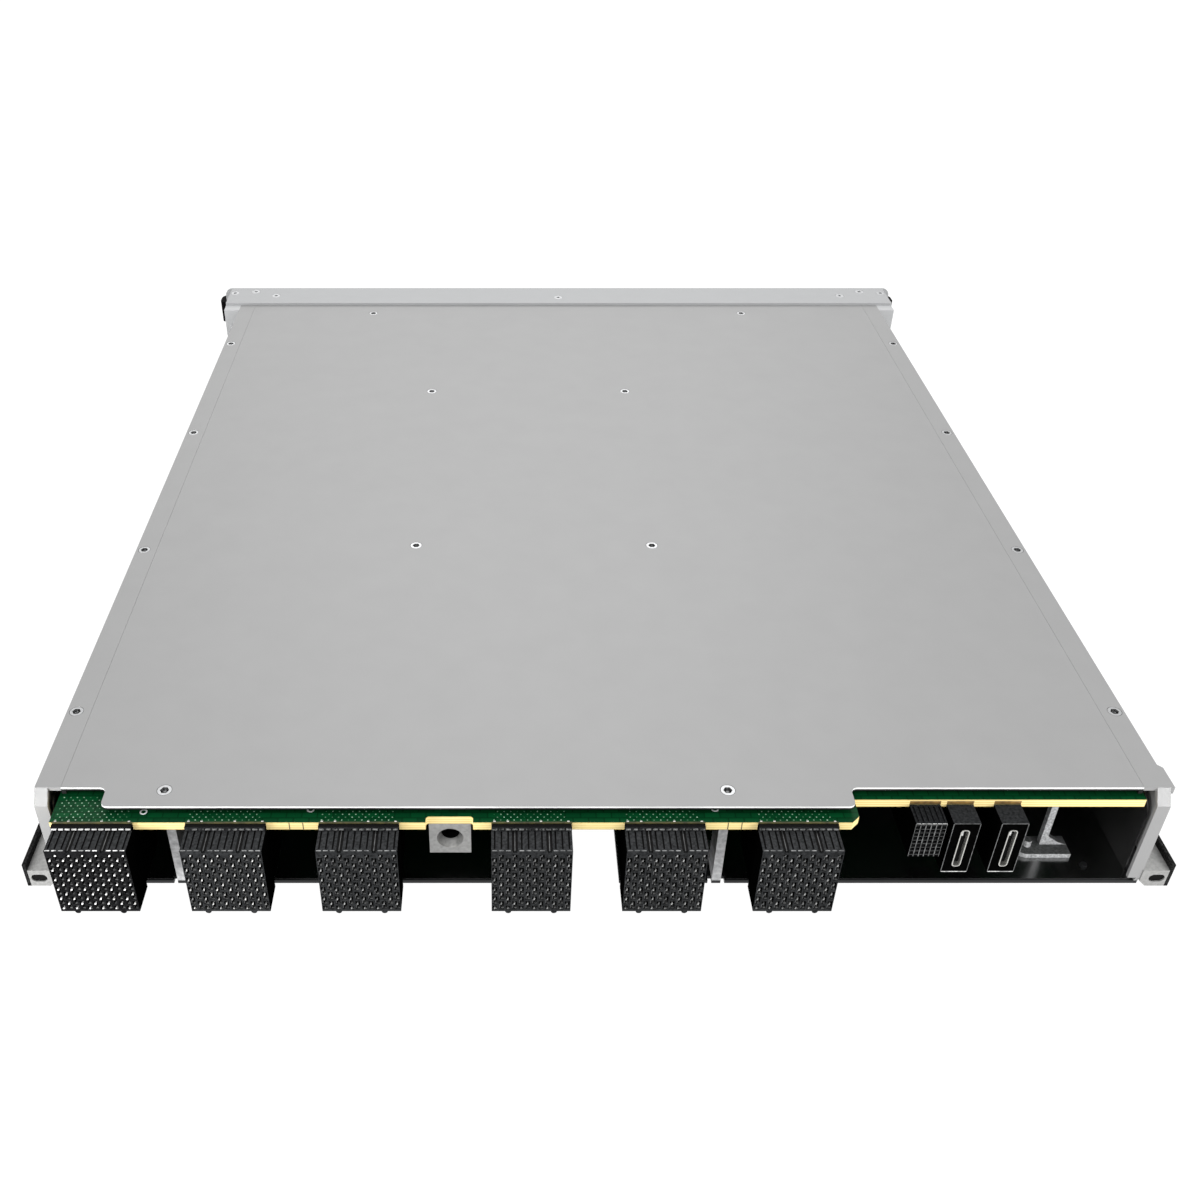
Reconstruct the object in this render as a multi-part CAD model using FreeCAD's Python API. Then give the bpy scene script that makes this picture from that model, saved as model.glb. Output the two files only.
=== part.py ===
"""Switch line card for a modular network chassis, in millimetres.

The card lies flat: +Z is up, the faceplate looks along +Y and the backplane
connectors along -Y. The origin is the middle of the card's footprint, at the
height of the guide rails' undersides.
"""
import FreeCAD, Part
import math
import os
from FreeCAD import Vector

# ---------------------------------------------------------------- card
body_width = 409.0
card_height = 48.5
front_to_mating_face = 492.0
lever_reach = 20.0
sheet_gauge = 1.5
film_gauge = 0.5
touch_gap = 0.1
run_gap = 0.3
screw_fit = 0.2

half_body = body_width / 2
plate_front = (front_to_mating_face - lever_reach) / 2
mating_face = plate_front - front_to_mating_face

# ---------------------------------------------------------------- faceplate
plate_overhang = 14.5
plate_gauge = 2.0
flange_depth = 26.5
plate_corner = 4.8
plate_back = plate_front - plate_gauge
flange_edge = plate_front - flange_depth
half_plate = half_body + plate_overhang
cover_top = card_height - sheet_gauge
lever_notch_clearance = 0.8
vent_width = 2.4
vent_height = 9.0
vent_pitch = 5.0
vent_floor = 4.0
vent_end_margin = 6.5
middle_screw_setback = 16.8
flange_screw_offsets = ((35.5, 14.0), (21.2, 7.2), (8.0, 9.5))

# ---------------------------------------------------------------- side frames and cover
strip_width = 9.4
frame_rear_inset = 466.9
rear_slant_depth = 4.0
rear_slant_drop = 5.5
rear_band_width = 4.8
rear_band_rise = 4.0
corner_tab_reach = 1.6
corner_tab_length = 12.0
strip_screw_inset = 3.7
strip_screw_first = 41.9
strip_screw_pitch = 113.3
strip_screw_count = 4
cover_front_lap = 20.0
cover_lip = 7.8
cover_tongue_depth = 9.5
cover_tongue_inset = 16.6
cover_tongue_step_gap = 1.4
cover_tongue_corner = 2.5

frame_rear = plate_front - frame_rear_inset
wall_outer = half_body
wall_inner = half_body - sheet_gauge
strip_inner = half_body - strip_width
strip_screw_x = half_body - strip_screw_inset
tongue_rear = frame_rear - cover_tongue_depth
cover_bottom = cover_top - sheet_gauge
cover_tongue_left = -strip_inner + cover_tongue_inset

# ---------------------------------------------------------------- tray and insulating film
tray_flange_height = 12.0
tray_rear_reach = 3.1
tray_slot_margin = 1.0
tray_slot_depth = 48.0
tray_slot_corner = 2.0
tray_relief_width = 1.5
tray_relief_depth = 2.2
rivet_radius = 1.3
rivet_height = 1.4
rivet_inset = 18.0
rivet_setback = 7.0
film_rear_setback = 0.6
film_wall_height = 36.0
film_corner = 8.0
film_hole_clearance = 0.5

floor_top = sheet_gauge
film_top = floor_top + film_gauge
tray_rear = frame_rear - tray_rear_reach
rivet_place = (wall_outer - rivet_inset, tray_rear + rivet_setback, floor_top)

# ---------------------------------------------------------------- guide rails
rail_width = 9.8
rail_height = 8.3
rail_rear_reach = 4.4
rail_front_setback = 31.0
rail_slot_width = 6.0
rail_slot_height = 3.8
rail_slot_depth = 14.0
rail_slot_rise = 4.2
rail_slot_inset = 3.8
rail_chamfer = 2.6
runner_gauge = 1.4
runner_rise = 3.0

rail_rear = frame_rear - rail_rear_reach
rail_front = plate_front - rail_front_setback

# ---------------------------------------------------------------- main board
board_thickness = 3.5
board_drop = 4.0
board_side_gap = 6.8
board_rear_overhang = 11.7
board_step_margin = 8.0
board_step_depth = 11.3
board_corner = 3.0
board_front_gap = 8.0

board_half_width = wall_inner - board_side_gap
board_top = cover_top - board_drop
board_bottom = board_top - board_thickness
board_rear = mating_face + board_rear_overhang
board_step_rear = board_rear + board_step_depth
board_front = plate_back - board_front_gap

# ---------------------------------------------------------------- fabric connectors
fabric_width = 28.4
fabric_height = 31.1
fabric_pitch_share = 0.24
fabric_middle_share = 0.311
fabric_edge_inset = 1.1
fabric_columns = 12
fabric_rows = 6
fabric_row_pitch = 4.96
fabric_stagger = 0.62
fabric_cell_width = 1.75
fabric_cell_height = 4.0
fabric_cell_depth = 1.6
fabric_cell_drop = 16.6
fabric_top_border = 1.8
fabric_border = 1.0
fabric_groove_shares = (0.29, 0.715)
fabric_groove_width = 1.3
fabric_groove_depth = 1.0
fabric_rib_width = 0.6
fabric_rib_depth = 0.5
fabric_lip = 1.5
fabric_rear_lip = 3.2
fabric_rear_lip_depth = 2.0
fabric_tail_length = 36.0
fabric_tail_inset = 0.7
fabric_tail_slope = 17.0
fabric_lug_radius = 1.1
fabric_lug_length = 8.0
fabric_lug_shares = (0.21, 0.79)

fabric_pitch = fabric_pitch_share * board_half_width
fabric_middle_pitch = fabric_middle_share * board_half_width
fabric_first = fabric_edge_inset - board_half_width
fabric_fourth = fabric_first + 2 * fabric_pitch + fabric_middle_pitch
fabric_lefts = [fabric_first + index * fabric_pitch for index in range(3)]
fabric_lefts += [fabric_fourth + index * fabric_pitch for index in range(3)]
fabric_gap = fabric_pitch - fabric_width
tray_slot_left = fabric_lefts[3] + fabric_width + tray_slot_margin
tray_slot_right = fabric_lefts[4] + tray_slot_margin
board_step_x = fabric_lefts[5] + fabric_width + board_step_margin
cover_tongue_right = board_step_x - cover_tongue_step_gap

# ---------------------------------------------------------------- guide socket
socket_offset = 1.4
socket_width = 15.0
socket_height = 14.8
socket_length = 27.0
socket_notch_depth = 2.9
socket_notch_width = 16.8
socket_notch_corner = 1.2
socket_bore_radius = 3.4
socket_mouth_radius = 4.8
socket_mouth_depth = 3.2
socket_ear_width = 29.0
socket_ear_thickness = 3.0
socket_ear_setback = 5.0
socket_ear_length = 16.0

socket_x = (fabric_lefts[2] + fabric_width + fabric_lefts[3]) / 2 + socket_offset
socket_front = board_rear + socket_notch_depth
socket_middle = board_bottom - socket_height / 2

# ---------------------------------------------------------------- signal and power connectors
signal_offset = 26.0
signal_width = 11.2
signal_height = 16.7
signal_columns = 6
signal_rows = 8
signal_cell_width = 1.1
signal_cell_height = 1.0
power_offset = 38.7
power_pitch = 17.1
power_width = 9.7
power_height = 24.9
power_slot_width = 3.2
power_slot_height = 18.6
power_slot_depth = 12.0
power_slot_corner = 1.3
contact_gauge = 0.35
contact_proud = 0.3
side_connector_lip = 1.1
side_connector_proud = 9.5
side_connector_length = 27.0

signal_x = board_step_x + signal_offset
power_xs = [board_step_x + power_offset + index * power_pitch for index in range(2)]
side_connector_front = board_step_rear - side_connector_proud
side_connector_top = board_bottom + side_connector_lip

# ---------------------------------------------------------------- posts and brackets
post_width = 3.4
post_depth = 10.0
post_foot_length = 8.0
post_head_width = 11.0
post_flange_thickness = 3.0
post_film_gap = 0.5
corner_bracket_inset = 24.0
corner_bracket_setback = 15.0
corner_bracket_blade = 2.5
corner_bracket_foot = 10.5
corner_bracket_gauge = 2.5
corner_bracket_tab = 2.0
corner_bracket_gusset = 4.5
corner_base_reach = 10.0
corner_base_rear = 5.0
corner_base_front = 4.5
corner_base_corner = 4.0
corner_stud_radius = 1.6
corner_stud_height = 3.0

post_xs = [fabric_lefts[index] - fabric_gap / 2 for index in (1, 5)]
corner_bracket_x = board_half_width - corner_bracket_inset

# ---------------------------------------------------------------- screws and standoffs
screw_radius = 1.5
head_radius = 2.6
head_depth = 1.3
head_sink = 0.1
drive_radius = 1.2
drive_sides = 6
drive_depth = 0.9
standoff_radius = 3.0
strip_screw_length = 5.0
flange_screw_length = 3.0
tray_screw_length = 7.5
spacer_wall = 2.3
standoff_tap_depth = 9.0
inner_screw_middle = -21.5
inner_screw_spread = 54.5
inner_screw_ys = (86.6, -72.0)
front_screw_middle = -1.3
front_screw_spread = 116.9
front_screw_y = 197.0
rear_screw_setback = 12.2

standoff_places = [(inner_screw_middle + side * inner_screw_spread, y)
                   for y in inner_screw_ys for side in (-1, 1)]
front_screw_places = [(front_screw_middle + side * front_screw_spread, front_screw_y) for side in (-1, 1)]
post_places = [(x, board_rear + rear_screw_setback) for x in post_xs]
cover_screw_places = standoff_places + front_screw_places + post_places

# ---------------------------------------------------------------- ejector levers
pivot_offset = 7.5
pivot_setback = 12.0
pin_radius = 2.0
pin_gap = 0.06
lever_height = 14.0
lever_middle = 30.5
ear_thickness = 3.0
hub_radius = 5.7
neck_inset = 4.6
handle_gap = 8.0
handle_thickness = 7.0
handle_length = 82.0
grip_length = 22.0
shoulder_reach = 12.5
shoulder_gap = 2.0
shoulder_round = 6.0
cam_reach = 6.0
cam_length = 7.5
lever_round = 1.5
bracket_rear_reach = 8.0
bracket_shelf_width = 9.5

pivot_x = half_body + pivot_offset
pivot_y = plate_front - pivot_setback
handle_inner_x = pivot_x - handle_length
handle_back = plate_front + handle_gap
handle_front = handle_back + handle_thickness
lever_bottom = lever_middle - lever_height / 2
lever_top = lever_middle + lever_height / 2

# ---------------------------------------------------------------- captive thumbscrews
thumb_z = 15.0
knob_radius = 5.4
knob_length = 11.0
knob_chamfer = 0.8
knob_slot_depth = 1.2
knob_slot_width = 1.4
knob_flute_start = 2.0
knob_flutes = 12
flute_radius = 0.7
shank_radius = 2.5
tip_radius = 2.0
thumb_tip_length = 15.0
ferrule_radius = 4.2
ferrule_flange_radius = 5.2
ferrule_flange = 1.5
shank_gap = 0.06

thumb_x = half_body + pivot_offset

# ---------------------------------------------------------------- port cages
cage_count = 4
cage_columns = 3
cage_gap = 4.0
cage_gauge = 0.6
cage_proud = 0.4
cage_depth = 60.0
port_width = 18.8
port_height = 9.6
spacer_height = 4.2
receptacle_length = 12.0
receptacle_inset = 0.9
receptacle_slot_width = 13.6
receptacle_slot_height = 1.4
receptacle_slot_depth = 5.0

cage_width = cage_columns * port_width + (cage_columns + 1) * cage_gauge
cage_height = 2 * port_height + spacer_height + 2 * cage_gauge
cage_top = board_bottom
cage_bottom = cage_top - cage_height
cage_pitch = cage_width + cage_gap
cage_back = plate_front - cage_depth

# ---------------------------------------------------------------- board components
chip_y = 10.0
chip_pitch = 105.0
chip_count = 3
chip_size = 45.0
chip_thickness = 3.4
sink_width = 82.0
sink_length = 100.0
sink_base = 4.0
sink_fin_height = 20.0
sink_fin_gauge = 1.2
sink_fin_count = 11
sink_ear = 8.0
sink_screw_inset = 4.0
sink_screw_head = 1.8
brick_offset = 37.0
brick_setback = 83.0
brick_pitch = 55.0
brick_count = 2
brick_width = 58.0
brick_length = 37.0
brick_height = 11.0
brick_corner = 1.5
capacitor_inset = 18.2
capacitor_setback = 43.0
capacitor_pitch = 16.0
capacitor_count = 6
capacitor_radius = 5.0
capacitor_height = 14.0

chip_places = [(inner_screw_middle + (index - (chip_count - 1) / 2) * chip_pitch, chip_y)
               for index in range(chip_count)]
brick_places = [(board_step_x + brick_offset, board_step_rear + brick_setback + index * brick_pitch)
                for index in range(brick_count)]
capacitor_x = board_half_width - capacitor_inset
capacitor_ys = [board_step_rear + capacitor_setback + index * capacitor_pitch
                for index in range(capacitor_count)]


def block(x0, x1, y0, y1, z0, z1):
    """A box between two corners."""
    return Part.makeBox(x1 - x0, y1 - y0, z1 - z0, Vector(x0, y0, z0))


def rod(radius, length, start, direction):
    """A cylinder from a start point along a direction."""
    return Part.makeCylinder(radius, length, Vector(*start), Vector(*direction))


def prism(points, direction):
    """A flat outline of 3-D points, extruded along a direction."""
    corners = [Vector(*point) for point in points]
    face = Part.Face(Part.makePolygon(corners + [corners[0]]))
    return face.extrude(Vector(*direction))


def rounded(shape, radius, keep_edge):
    """Round the edges for which keep_edge is true."""
    edges = [edge for edge in shape.Edges if keep_edge(edge)]
    return shape.makeFillet(radius, edges) if edges else shape


def is_upright(edge):
    """True for a straight edge along Z."""
    first, last = edge.Vertexes[0].Point, edge.Vertexes[-1].Point
    return abs(first.x - last.x) < 1e-6 and abs(first.y - last.y) < 1e-6


def both_sides(shape):
    """The piece on the right and its mirror image on the left."""
    return shape, shape.mirror(Vector(0, 0, 0), Vector(1, 0, 0))


def screw(x, y, head_top, length):
    """A countersunk screw with a hexagonal recess, driven down from head_top."""
    head = Part.makeCone(screw_radius, head_radius, head_depth, Vector(x, y, head_top - head_depth))
    shank = rod(screw_radius, length - head_depth, (x, y, head_top - length), (0, 0, 1))
    angles = [2 * math.pi * index / drive_sides for index in range(drive_sides)]
    recess = prism([(x + drive_radius * math.cos(angle), y + drive_radius * math.sin(angle),
                     head_top - drive_depth) for angle in angles], (0, 0, drive_depth))
    return head.fuse(shank).cut(recess)


def screw_hole(x, y, sheet_top):
    """The countersunk hole that the screw sits in."""
    wide = head_radius + screw_fit
    narrow = screw_radius + screw_fit
    cone = Part.makeCone(narrow, wide, head_depth, Vector(x, y, sheet_top - head_depth))
    depth = sheet_gauge + board_drop
    return cone.fuse(rod(narrow, depth + sheet_gauge, (x, y, sheet_top - depth), (0, 0, 1)))


def turned_over(shape):
    """The same shape mirrored in the plane of the tray's underside."""
    return shape.mirror(Vector(0, 0, 0), Vector(0, 0, 1))


def strip_screw_ys():
    """Distances along Y of the screws in each side strip."""
    first = frame_rear + strip_screw_first
    return [first + index * strip_screw_pitch for index in range(strip_screw_count)]


# ---------------------------------------------------------------- sheet metal
def make_side_frame():
    """Right side: wall, top strip and folded rear band."""
    slant_z = cover_top - rear_slant_drop
    band_rear = frame_rear - rear_slant_depth
    outline = [(wall_inner, frame_rear, cover_top), (wall_inner, band_rear, slant_z),
               (wall_inner, band_rear, rear_band_rise), (wall_inner, tray_rear, floor_top),
               (wall_inner, plate_back, floor_top), (wall_inner, plate_back, cover_top)]
    frame = prism(outline, (sheet_gauge, 0, 0))
    frame = frame.fuse(block(strip_inner, wall_outer, frame_rear, flange_edge + cover_front_lap,
                             cover_bottom, cover_top))
    band_x = wall_outer - rear_band_width
    band_inner = band_rear + sheet_gauge
    top_inner = frame_rear + sheet_gauge
    band = [(frame_rear, cover_top), (band_rear, slant_z), (band_rear, rear_band_rise),
            (band_inner, rear_band_rise), (band_inner, slant_z), (top_inner, cover_bottom),
            (top_inner, cover_top)]
    frame = frame.fuse(prism([(band_x, y, z) for y, z in band], (rear_band_width, 0, 0)))
    for y in strip_screw_ys():
        frame = frame.cut(screw_hole(strip_screw_x, y, cover_top))
    return drilled_for_flange(frame).removeSplitter()


def drilled_for_flange(sheet):
    """Cut clearance holes under the screws of the faceplate's flange."""
    low = cover_top - 2 * sheet_gauge
    for x, y in flange_screw_places():
        sheet = sheet.cut(rod(screw_radius + screw_fit, 2 * sheet_gauge, (x, y, low), (0, 0, 1)))
    return sheet.removeSplitter()


def make_corner_tab():
    """The tab that stands out of the right strip's rear end."""
    tab_front = frame_rear + corner_tab_length
    reach = wall_outer + corner_tab_reach
    outline = [(wall_outer, frame_rear, cover_top), (reach, frame_rear, cover_top),
               (reach, tab_front - corner_tab_reach, cover_top), (wall_outer, tab_front, cover_top)]
    return prism(outline, (0, 0, -2 * sheet_gauge))


def make_top_cover():
    """Flat cover whose stepped-down long edges tuck under the side strips."""
    edge = strip_inner - touch_gap
    step = edge - sheet_gauge
    lip_end = strip_inner + cover_lip - touch_gap
    lip_top = cover_bottom
    front = flange_edge + cover_front_lap
    upper = [(-lip_end, lip_top), (-edge, lip_top), (-edge, cover_top), (edge, cover_top),
             (edge, lip_top), (lip_end, lip_top)]
    lower = [(lip_end, lip_top - sheet_gauge), (step, lip_top - sheet_gauge), (step, cover_bottom),
             (-step, cover_bottom), (-step, lip_top - sheet_gauge), (-lip_end, lip_top - sheet_gauge)]
    lip_rear = frame_rear + 2 * sheet_gauge
    cover = prism([(x, frame_rear, z) for x, z in upper + lower], (0, front - frame_rear, 0))
    for x0, x1 in ((-lip_end, -edge), (edge, lip_end)):
        cover = cover.cut(block(x0, x1, frame_rear, lip_rear, lip_top - sheet_gauge, cover_top))
    tongue = block(cover_tongue_left, cover_tongue_right, tongue_rear, frame_rear, cover_bottom, cover_top)
    outer = lambda e: is_upright(e) and e.Vertexes[0].Y < frame_rear - 1
    tongue = rounded(tongue, cover_tongue_corner, outer)
    cover = cover.fuse(tongue).removeSplitter()
    inner = lambda e: (is_upright(e) and abs(e.Vertexes[0].Y - frame_rear) < 0.01
                       and min(abs(e.Vertexes[0].X - cover_tongue_left),
                               abs(e.Vertexes[0].X - cover_tongue_right)) < 0.01)
    cover = rounded(cover, cover_tongue_corner, inner)
    for x, y in cover_screw_places:
        cover = cover.cut(screw_hole(x, y, cover_top))
    lip_bottom = lip_top - sheet_gauge
    for y in strip_screw_ys():
        for x in (-strip_screw_x, strip_screw_x):
            cover = cover.cut(rod(screw_radius + screw_fit, sheet_gauge, (x, y, lip_bottom), (0, 0, 1)))
    return drilled_for_flange(cover)


def make_bottom_tray():
    """Floor with upturned sides, a keying slot, relief notches and one rivet."""
    tray = block(-wall_outer, wall_outer, tray_rear, plate_back, 0, floor_top)
    flange_rear = frame_rear + sheet_gauge
    flange = block(wall_inner - sheet_gauge, wall_inner, flange_rear, plate_back, floor_top,
                   floor_top + tray_flange_height)
    for piece in both_sides(flange):
        tray = tray.fuse(piece)
    slot_end = tray_rear + tray_slot_depth
    slot = block(tray_slot_left, tray_slot_right, tray_rear - 5, slot_end, -1, floor_top + 1)
    slot = rounded(slot, tray_slot_corner, lambda e: is_upright(e) and e.Vertexes[0].Y > tray_rear)
    tray = tray.cut(slot)
    for x in post_xs:
        for side in (-1, 1):
            near = x + side * post_width / 2
            left = min(near, near + side * tray_relief_width)
            tray = tray.cut(block(left, left + tray_relief_width, tray_rear - 1,
                                  tray_rear + tray_relief_depth, -1, floor_top + 1))
    for x, y in standoff_places:
        tray = tray.cut(turned_over(screw_hole(x, y, 0)))
    return tray.fuse(rod(rivet_radius, rivet_height, rivet_place, (0, 0, 1))).removeSplitter()


def make_insulator():
    """Thin film that lines the tray's floor and both walls."""
    outer = wall_inner - sheet_gauge
    inner = outer - film_gauge
    rear = tray_rear + film_rear_setback
    wall_rear = frame_rear + sheet_gauge
    front = cage_back + cage_depth / 2
    film = block(-outer, outer, rear, front, floor_top, film_top)
    wall = block(inner, outer, wall_rear, front, floor_top, floor_top + film_wall_height)
    corner = lambda e: (abs(e.Vertexes[0].Y - wall_rear) < 0.01 and abs(e.Vertexes[-1].Y - wall_rear) < 0.01
                        and e.Vertexes[0].Z > film_top + 1 and e.Vertexes[-1].Z > film_top + 1)
    wall = rounded(wall, film_corner, corner)
    for piece in both_sides(wall):
        film = film.fuse(piece)
    gap = film_hole_clearance
    half = post_width / 2 + tray_relief_width + gap
    post_end = tray_rear + post_depth + post_foot_length + post_film_gap
    for x in post_xs:
        film = film.cut(block(x - half, x + half, rear - 1, post_end, floor_top - 1, film_top + 1))
    film = film.cut(block(tray_slot_left - gap, tray_slot_right + gap, rear - 1,
                          tray_rear + tray_slot_depth + gap, floor_top - 1, film_top + 1))
    film = film.cut(rod(rivet_radius + gap, film_gauge, rivet_place, (0, 0, 1)))
    for x, y in standoff_places:
        film = film.cut(rod(standoff_radius + gap, film_gauge, (x, y, floor_top), (0, 0, 1)))
    return film.removeSplitter()


def make_faceplate():
    """Front panel folded into a channel, with windows, vents and lever notches."""
    plate = block(-half_plate, half_plate, plate_back, plate_front, 0, card_height)
    plate = rounded(plate, plate_corner, lambda e: abs(e.Length - plate_gauge) < 0.01
                    and e.Vertexes[0].Z > card_height - 0.01)
    top_half = half_plate - plate_corner
    plate = plate.fuse(block(-top_half, top_half, flange_edge, plate_back, cover_top, card_height))
    low_half = wall_inner - sheet_gauge - touch_gap
    plate = plate.fuse(block(-low_half, low_half, flange_edge, plate_back, floor_top, 2 * sheet_gauge))
    plate = plate.removeSplitter()
    plate = rounded(plate, sheet_gauge, lambda e: abs(e.Length - 2 * top_half) < 0.01
                    and e.Vertexes[0].Y > plate_front - 0.01)
    for x in cage_centres():
        half = cage_width / 2 + touch_gap
        plate = plate.cut(block(x - half, x + half, plate_back - 1, plate_front + 1,
                                cage_bottom - touch_gap, cage_top + touch_gap))
    notch_x = wall_outer + sheet_gauge
    margin = lever_notch_clearance
    notch = block(notch_x, half_plate + 1, plate_back - 1, plate_front + 1,
                  lever_bottom - margin, lever_top + margin)
    for piece in both_sides(notch):
        plate = plate.cut(piece)
    for x in (thumb_x, -thumb_x):
        plate = plate.cut(rod(ferrule_radius, plate_gauge + 2, (x, plate_back - 1, thumb_z), (0, 1, 0)))
    for x in vent_xs():
        plate = plate.cut(block(x - vent_width / 2, x + vent_width / 2, plate_back - 1, plate_front + 1,
                                vent_floor, vent_floor + vent_height))
    for x, y in flange_screw_places():
        plate = plate.cut(screw_hole(x, y, card_height))
    return plate


def vent_xs():
    """Centres of the vent slots, in even steps across the faceplate."""
    count = int((half_body - vent_end_margin) / vent_pitch)
    return [index * vent_pitch for index in range(-count, count + 1)]


def flange_screw_places():
    """Screws in the faceplate's top flange, mirrored about the middle."""
    places = [(0.0, plate_front - middle_screw_setback)]
    for from_end, from_front in flange_screw_offsets:
        x = half_plate - from_end
        places += [(-x, plate_front - from_front), (x, plate_front - from_front)]
    return places


def make_end_bracket():
    """Right bracket: web, shelf, rear wall and the two ears that carry the ejector lever."""
    web = wall_outer + sheet_gauge
    reach = pivot_x + hub_radius
    low = lever_bottom - run_gap
    high = lever_top + run_gap
    rear = flange_edge - bracket_rear_reach
    bracket = block(wall_outer, web, rear, plate_back, low - ear_thickness, cover_top)
    for z in (low - ear_thickness, high):
        ear = block(wall_outer, reach, pivot_y - hub_radius, plate_back, z, z + ear_thickness)
        ear = rounded(ear, hub_radius - 1, lambda e: is_upright(e) and e.Vertexes[0].X > reach - 0.01
                      and e.Vertexes[0].Y < pivot_y)
        bracket = bracket.fuse(ear)
    bracket = bracket.cut(rod(pin_radius, card_height, (pivot_x, pivot_y, 0), (0, 0, 1)))
    shelf_end = wall_outer + bracket_shelf_width
    bracket = bracket.fuse(block(wall_outer, shelf_end, rear, plate_back, cover_bottom, cover_top))
    bracket = bracket.fuse(block(wall_outer, shelf_end, rear, rear + sheet_gauge,
                                 low - ear_thickness, cover_top))
    for x, y in flange_screw_places():
        if x > wall_outer:
            bracket = bracket.cut(rod(screw_radius + screw_fit, card_height, (x, y, 0), (0, 0, 1)))
    return bracket.removeSplitter()


# ---------------------------------------------------------------- guide rails
def make_guide_rail():
    """Right rail along the foot of the side wall, with an alignment slot in its rear end."""
    outer = wall_outer + rail_width
    section = [(wall_outer + rail_chamfer, 0), (wall_outer, rail_chamfer), (wall_outer, rail_height),
               (outer, rail_height), (outer, 0)]
    rail = prism([(x, rail_rear, z) for x, z in section], (0, rail_front - rail_rear, 0))
    middle = outer - rail_slot_inset
    half = (rail_slot_width - rail_slot_height) / 2
    radius = rail_slot_height / 2
    slot = block(middle - half, middle + half, rail_rear - 1, rail_rear + rail_slot_depth,
                 rail_slot_rise - radius, rail_slot_rise + radius)
    for x in (middle - half, middle + half):
        slot = slot.fuse(rod(radius, rail_slot_depth + 1, (x, rail_rear - 1, rail_slot_rise), (0, 1, 0)))
    return rail.cut(slot)


def make_runner():
    """Plastic runner strip on the outer face of the right rail."""
    inner = wall_outer + rail_width
    return block(inner, inner + runner_gauge, rail_rear, rail_front, 0, rail_height + runner_rise)


# ---------------------------------------------------------------- board and connectors
def make_main_board():
    """Board with a set-back right rear edge and a notch above the guide socket."""
    half = board_half_width
    left_slant = board_corner / 2
    outline = [(-half, board_front), (-half, board_rear), (board_step_x - board_corner, board_rear),
               (board_step_x, board_rear + board_corner), (board_step_x, board_step_rear),
               (half, board_step_rear), (half, board_front - left_slant), (half - left_slant, board_front)]
    board = prism([(x, y, board_bottom) for x, y in outline], (0, 0, board_thickness))
    notch = socket_notch_width / 2
    notch_cut = block(socket_x - notch, socket_x + notch, board_rear - 1, socket_front,
                      board_bottom - 1, board_top + 1)
    at_back = lambda e: is_upright(e) and e.Vertexes[0].Y > board_rear
    board = board.cut(rounded(notch_cut, socket_notch_corner, at_back))
    for x, y in cover_screw_places:
        board = board.cut(rod(screw_radius + screw_fit, board_thickness, (x, y, board_bottom), (0, 0, 1)))
    return board


def fabric_cell_z(top, column, row):
    """Height of a contact cavity's middle; neighbouring columns are staggered."""
    side = 1 if column % 2 else -1
    steps = (fabric_rows - 1) / 2 - row
    return top - fabric_cell_drop + steps * fabric_row_pitch + side * 2 * fabric_stagger


def make_fabric_connector(left):
    """High-density right-angle connector: staggered cavities, ribbed top and sloped tail."""
    right = left + fabric_width
    top = board_bottom + fabric_lip
    bottom = top - fabric_height
    shroud_end = board_rear - touch_gap
    body = block(left, right, mating_face, shroud_end, bottom, top)
    body = body.fuse(block(left, right, shroud_end - fabric_rear_lip_depth, shroud_end,
                           top, board_bottom + fabric_rear_lip))
    tail_left = left + fabric_tail_inset
    tail_end = shroud_end + fabric_tail_length
    tail = [(tail_left, shroud_end, bottom + fabric_tail_inset),
            (tail_left, tail_end - fabric_tail_slope, bottom + fabric_tail_inset),
            (tail_left, tail_end, bottom + fabric_tail_slope),
            (tail_left, tail_end, board_bottom), (tail_left, shroud_end, board_bottom)]
    body = body.fuse(prism(tail, (fabric_width - 2 * fabric_tail_inset, 0, 0)))
    for share in fabric_lug_shares:
        body = body.fuse(rod(fabric_lug_radius, fabric_lug_length,
                             (left + share * fabric_width, mating_face, bottom), (0, 1, 0)))
    pitch = fabric_width / fabric_columns
    rib_end = shroud_end - fabric_rear_lip_depth
    cuts = []
    for index in range(fabric_columns):
        middle = left + (index + 0.5) * pitch
        half = fabric_cell_width / 2
        for row in range(fabric_rows):
            z = fabric_cell_z(top, index, row)
            low = max(z - fabric_cell_height / 2, bottom + fabric_border)
            high = min(z + fabric_cell_height / 2, top - fabric_top_border)
            cuts.append(block(middle - half, middle + half, mating_face - 1, mating_face + fabric_cell_depth,
                              low, high))
        half = fabric_rib_width / 2
        cuts.append(block(middle - half, middle + half, mating_face + fabric_border,
                          rib_end, top - fabric_rib_depth, top + 1))
    for share in fabric_groove_shares:
        middle = left + share * fabric_width
        half = fabric_groove_width / 2
        cuts.append(block(middle - half, middle + half, mating_face - 1, rib_end,
                          top - fabric_groove_depth, top + 1))
    return body.cut(Part.makeCompound(cuts))


def make_guide_socket():
    """Cast block under the board's notch that receives the chassis guide pin."""
    half = socket_width / 2
    bottom = board_bottom - socket_height
    socket = block(socket_x - half, socket_x + half, socket_front, socket_front + socket_length,
                   bottom, board_bottom)
    ear_half = socket_ear_width / 2
    ear_front = socket_front + socket_ear_setback
    socket = socket.fuse(block(socket_x - ear_half, socket_x + ear_half, ear_front,
                               ear_front + socket_ear_length, board_bottom - socket_ear_thickness,
                               board_bottom))
    entry = (socket_x, socket_front, socket_middle)
    socket = socket.cut(rod(socket_bore_radius, socket_length, entry, (0, 1, 0)))
    mouth = Part.makeCone(socket_mouth_radius, socket_bore_radius, socket_mouth_depth,
                          Vector(*entry), Vector(0, 1, 0))
    return socket.cut(mouth).removeSplitter()


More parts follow.
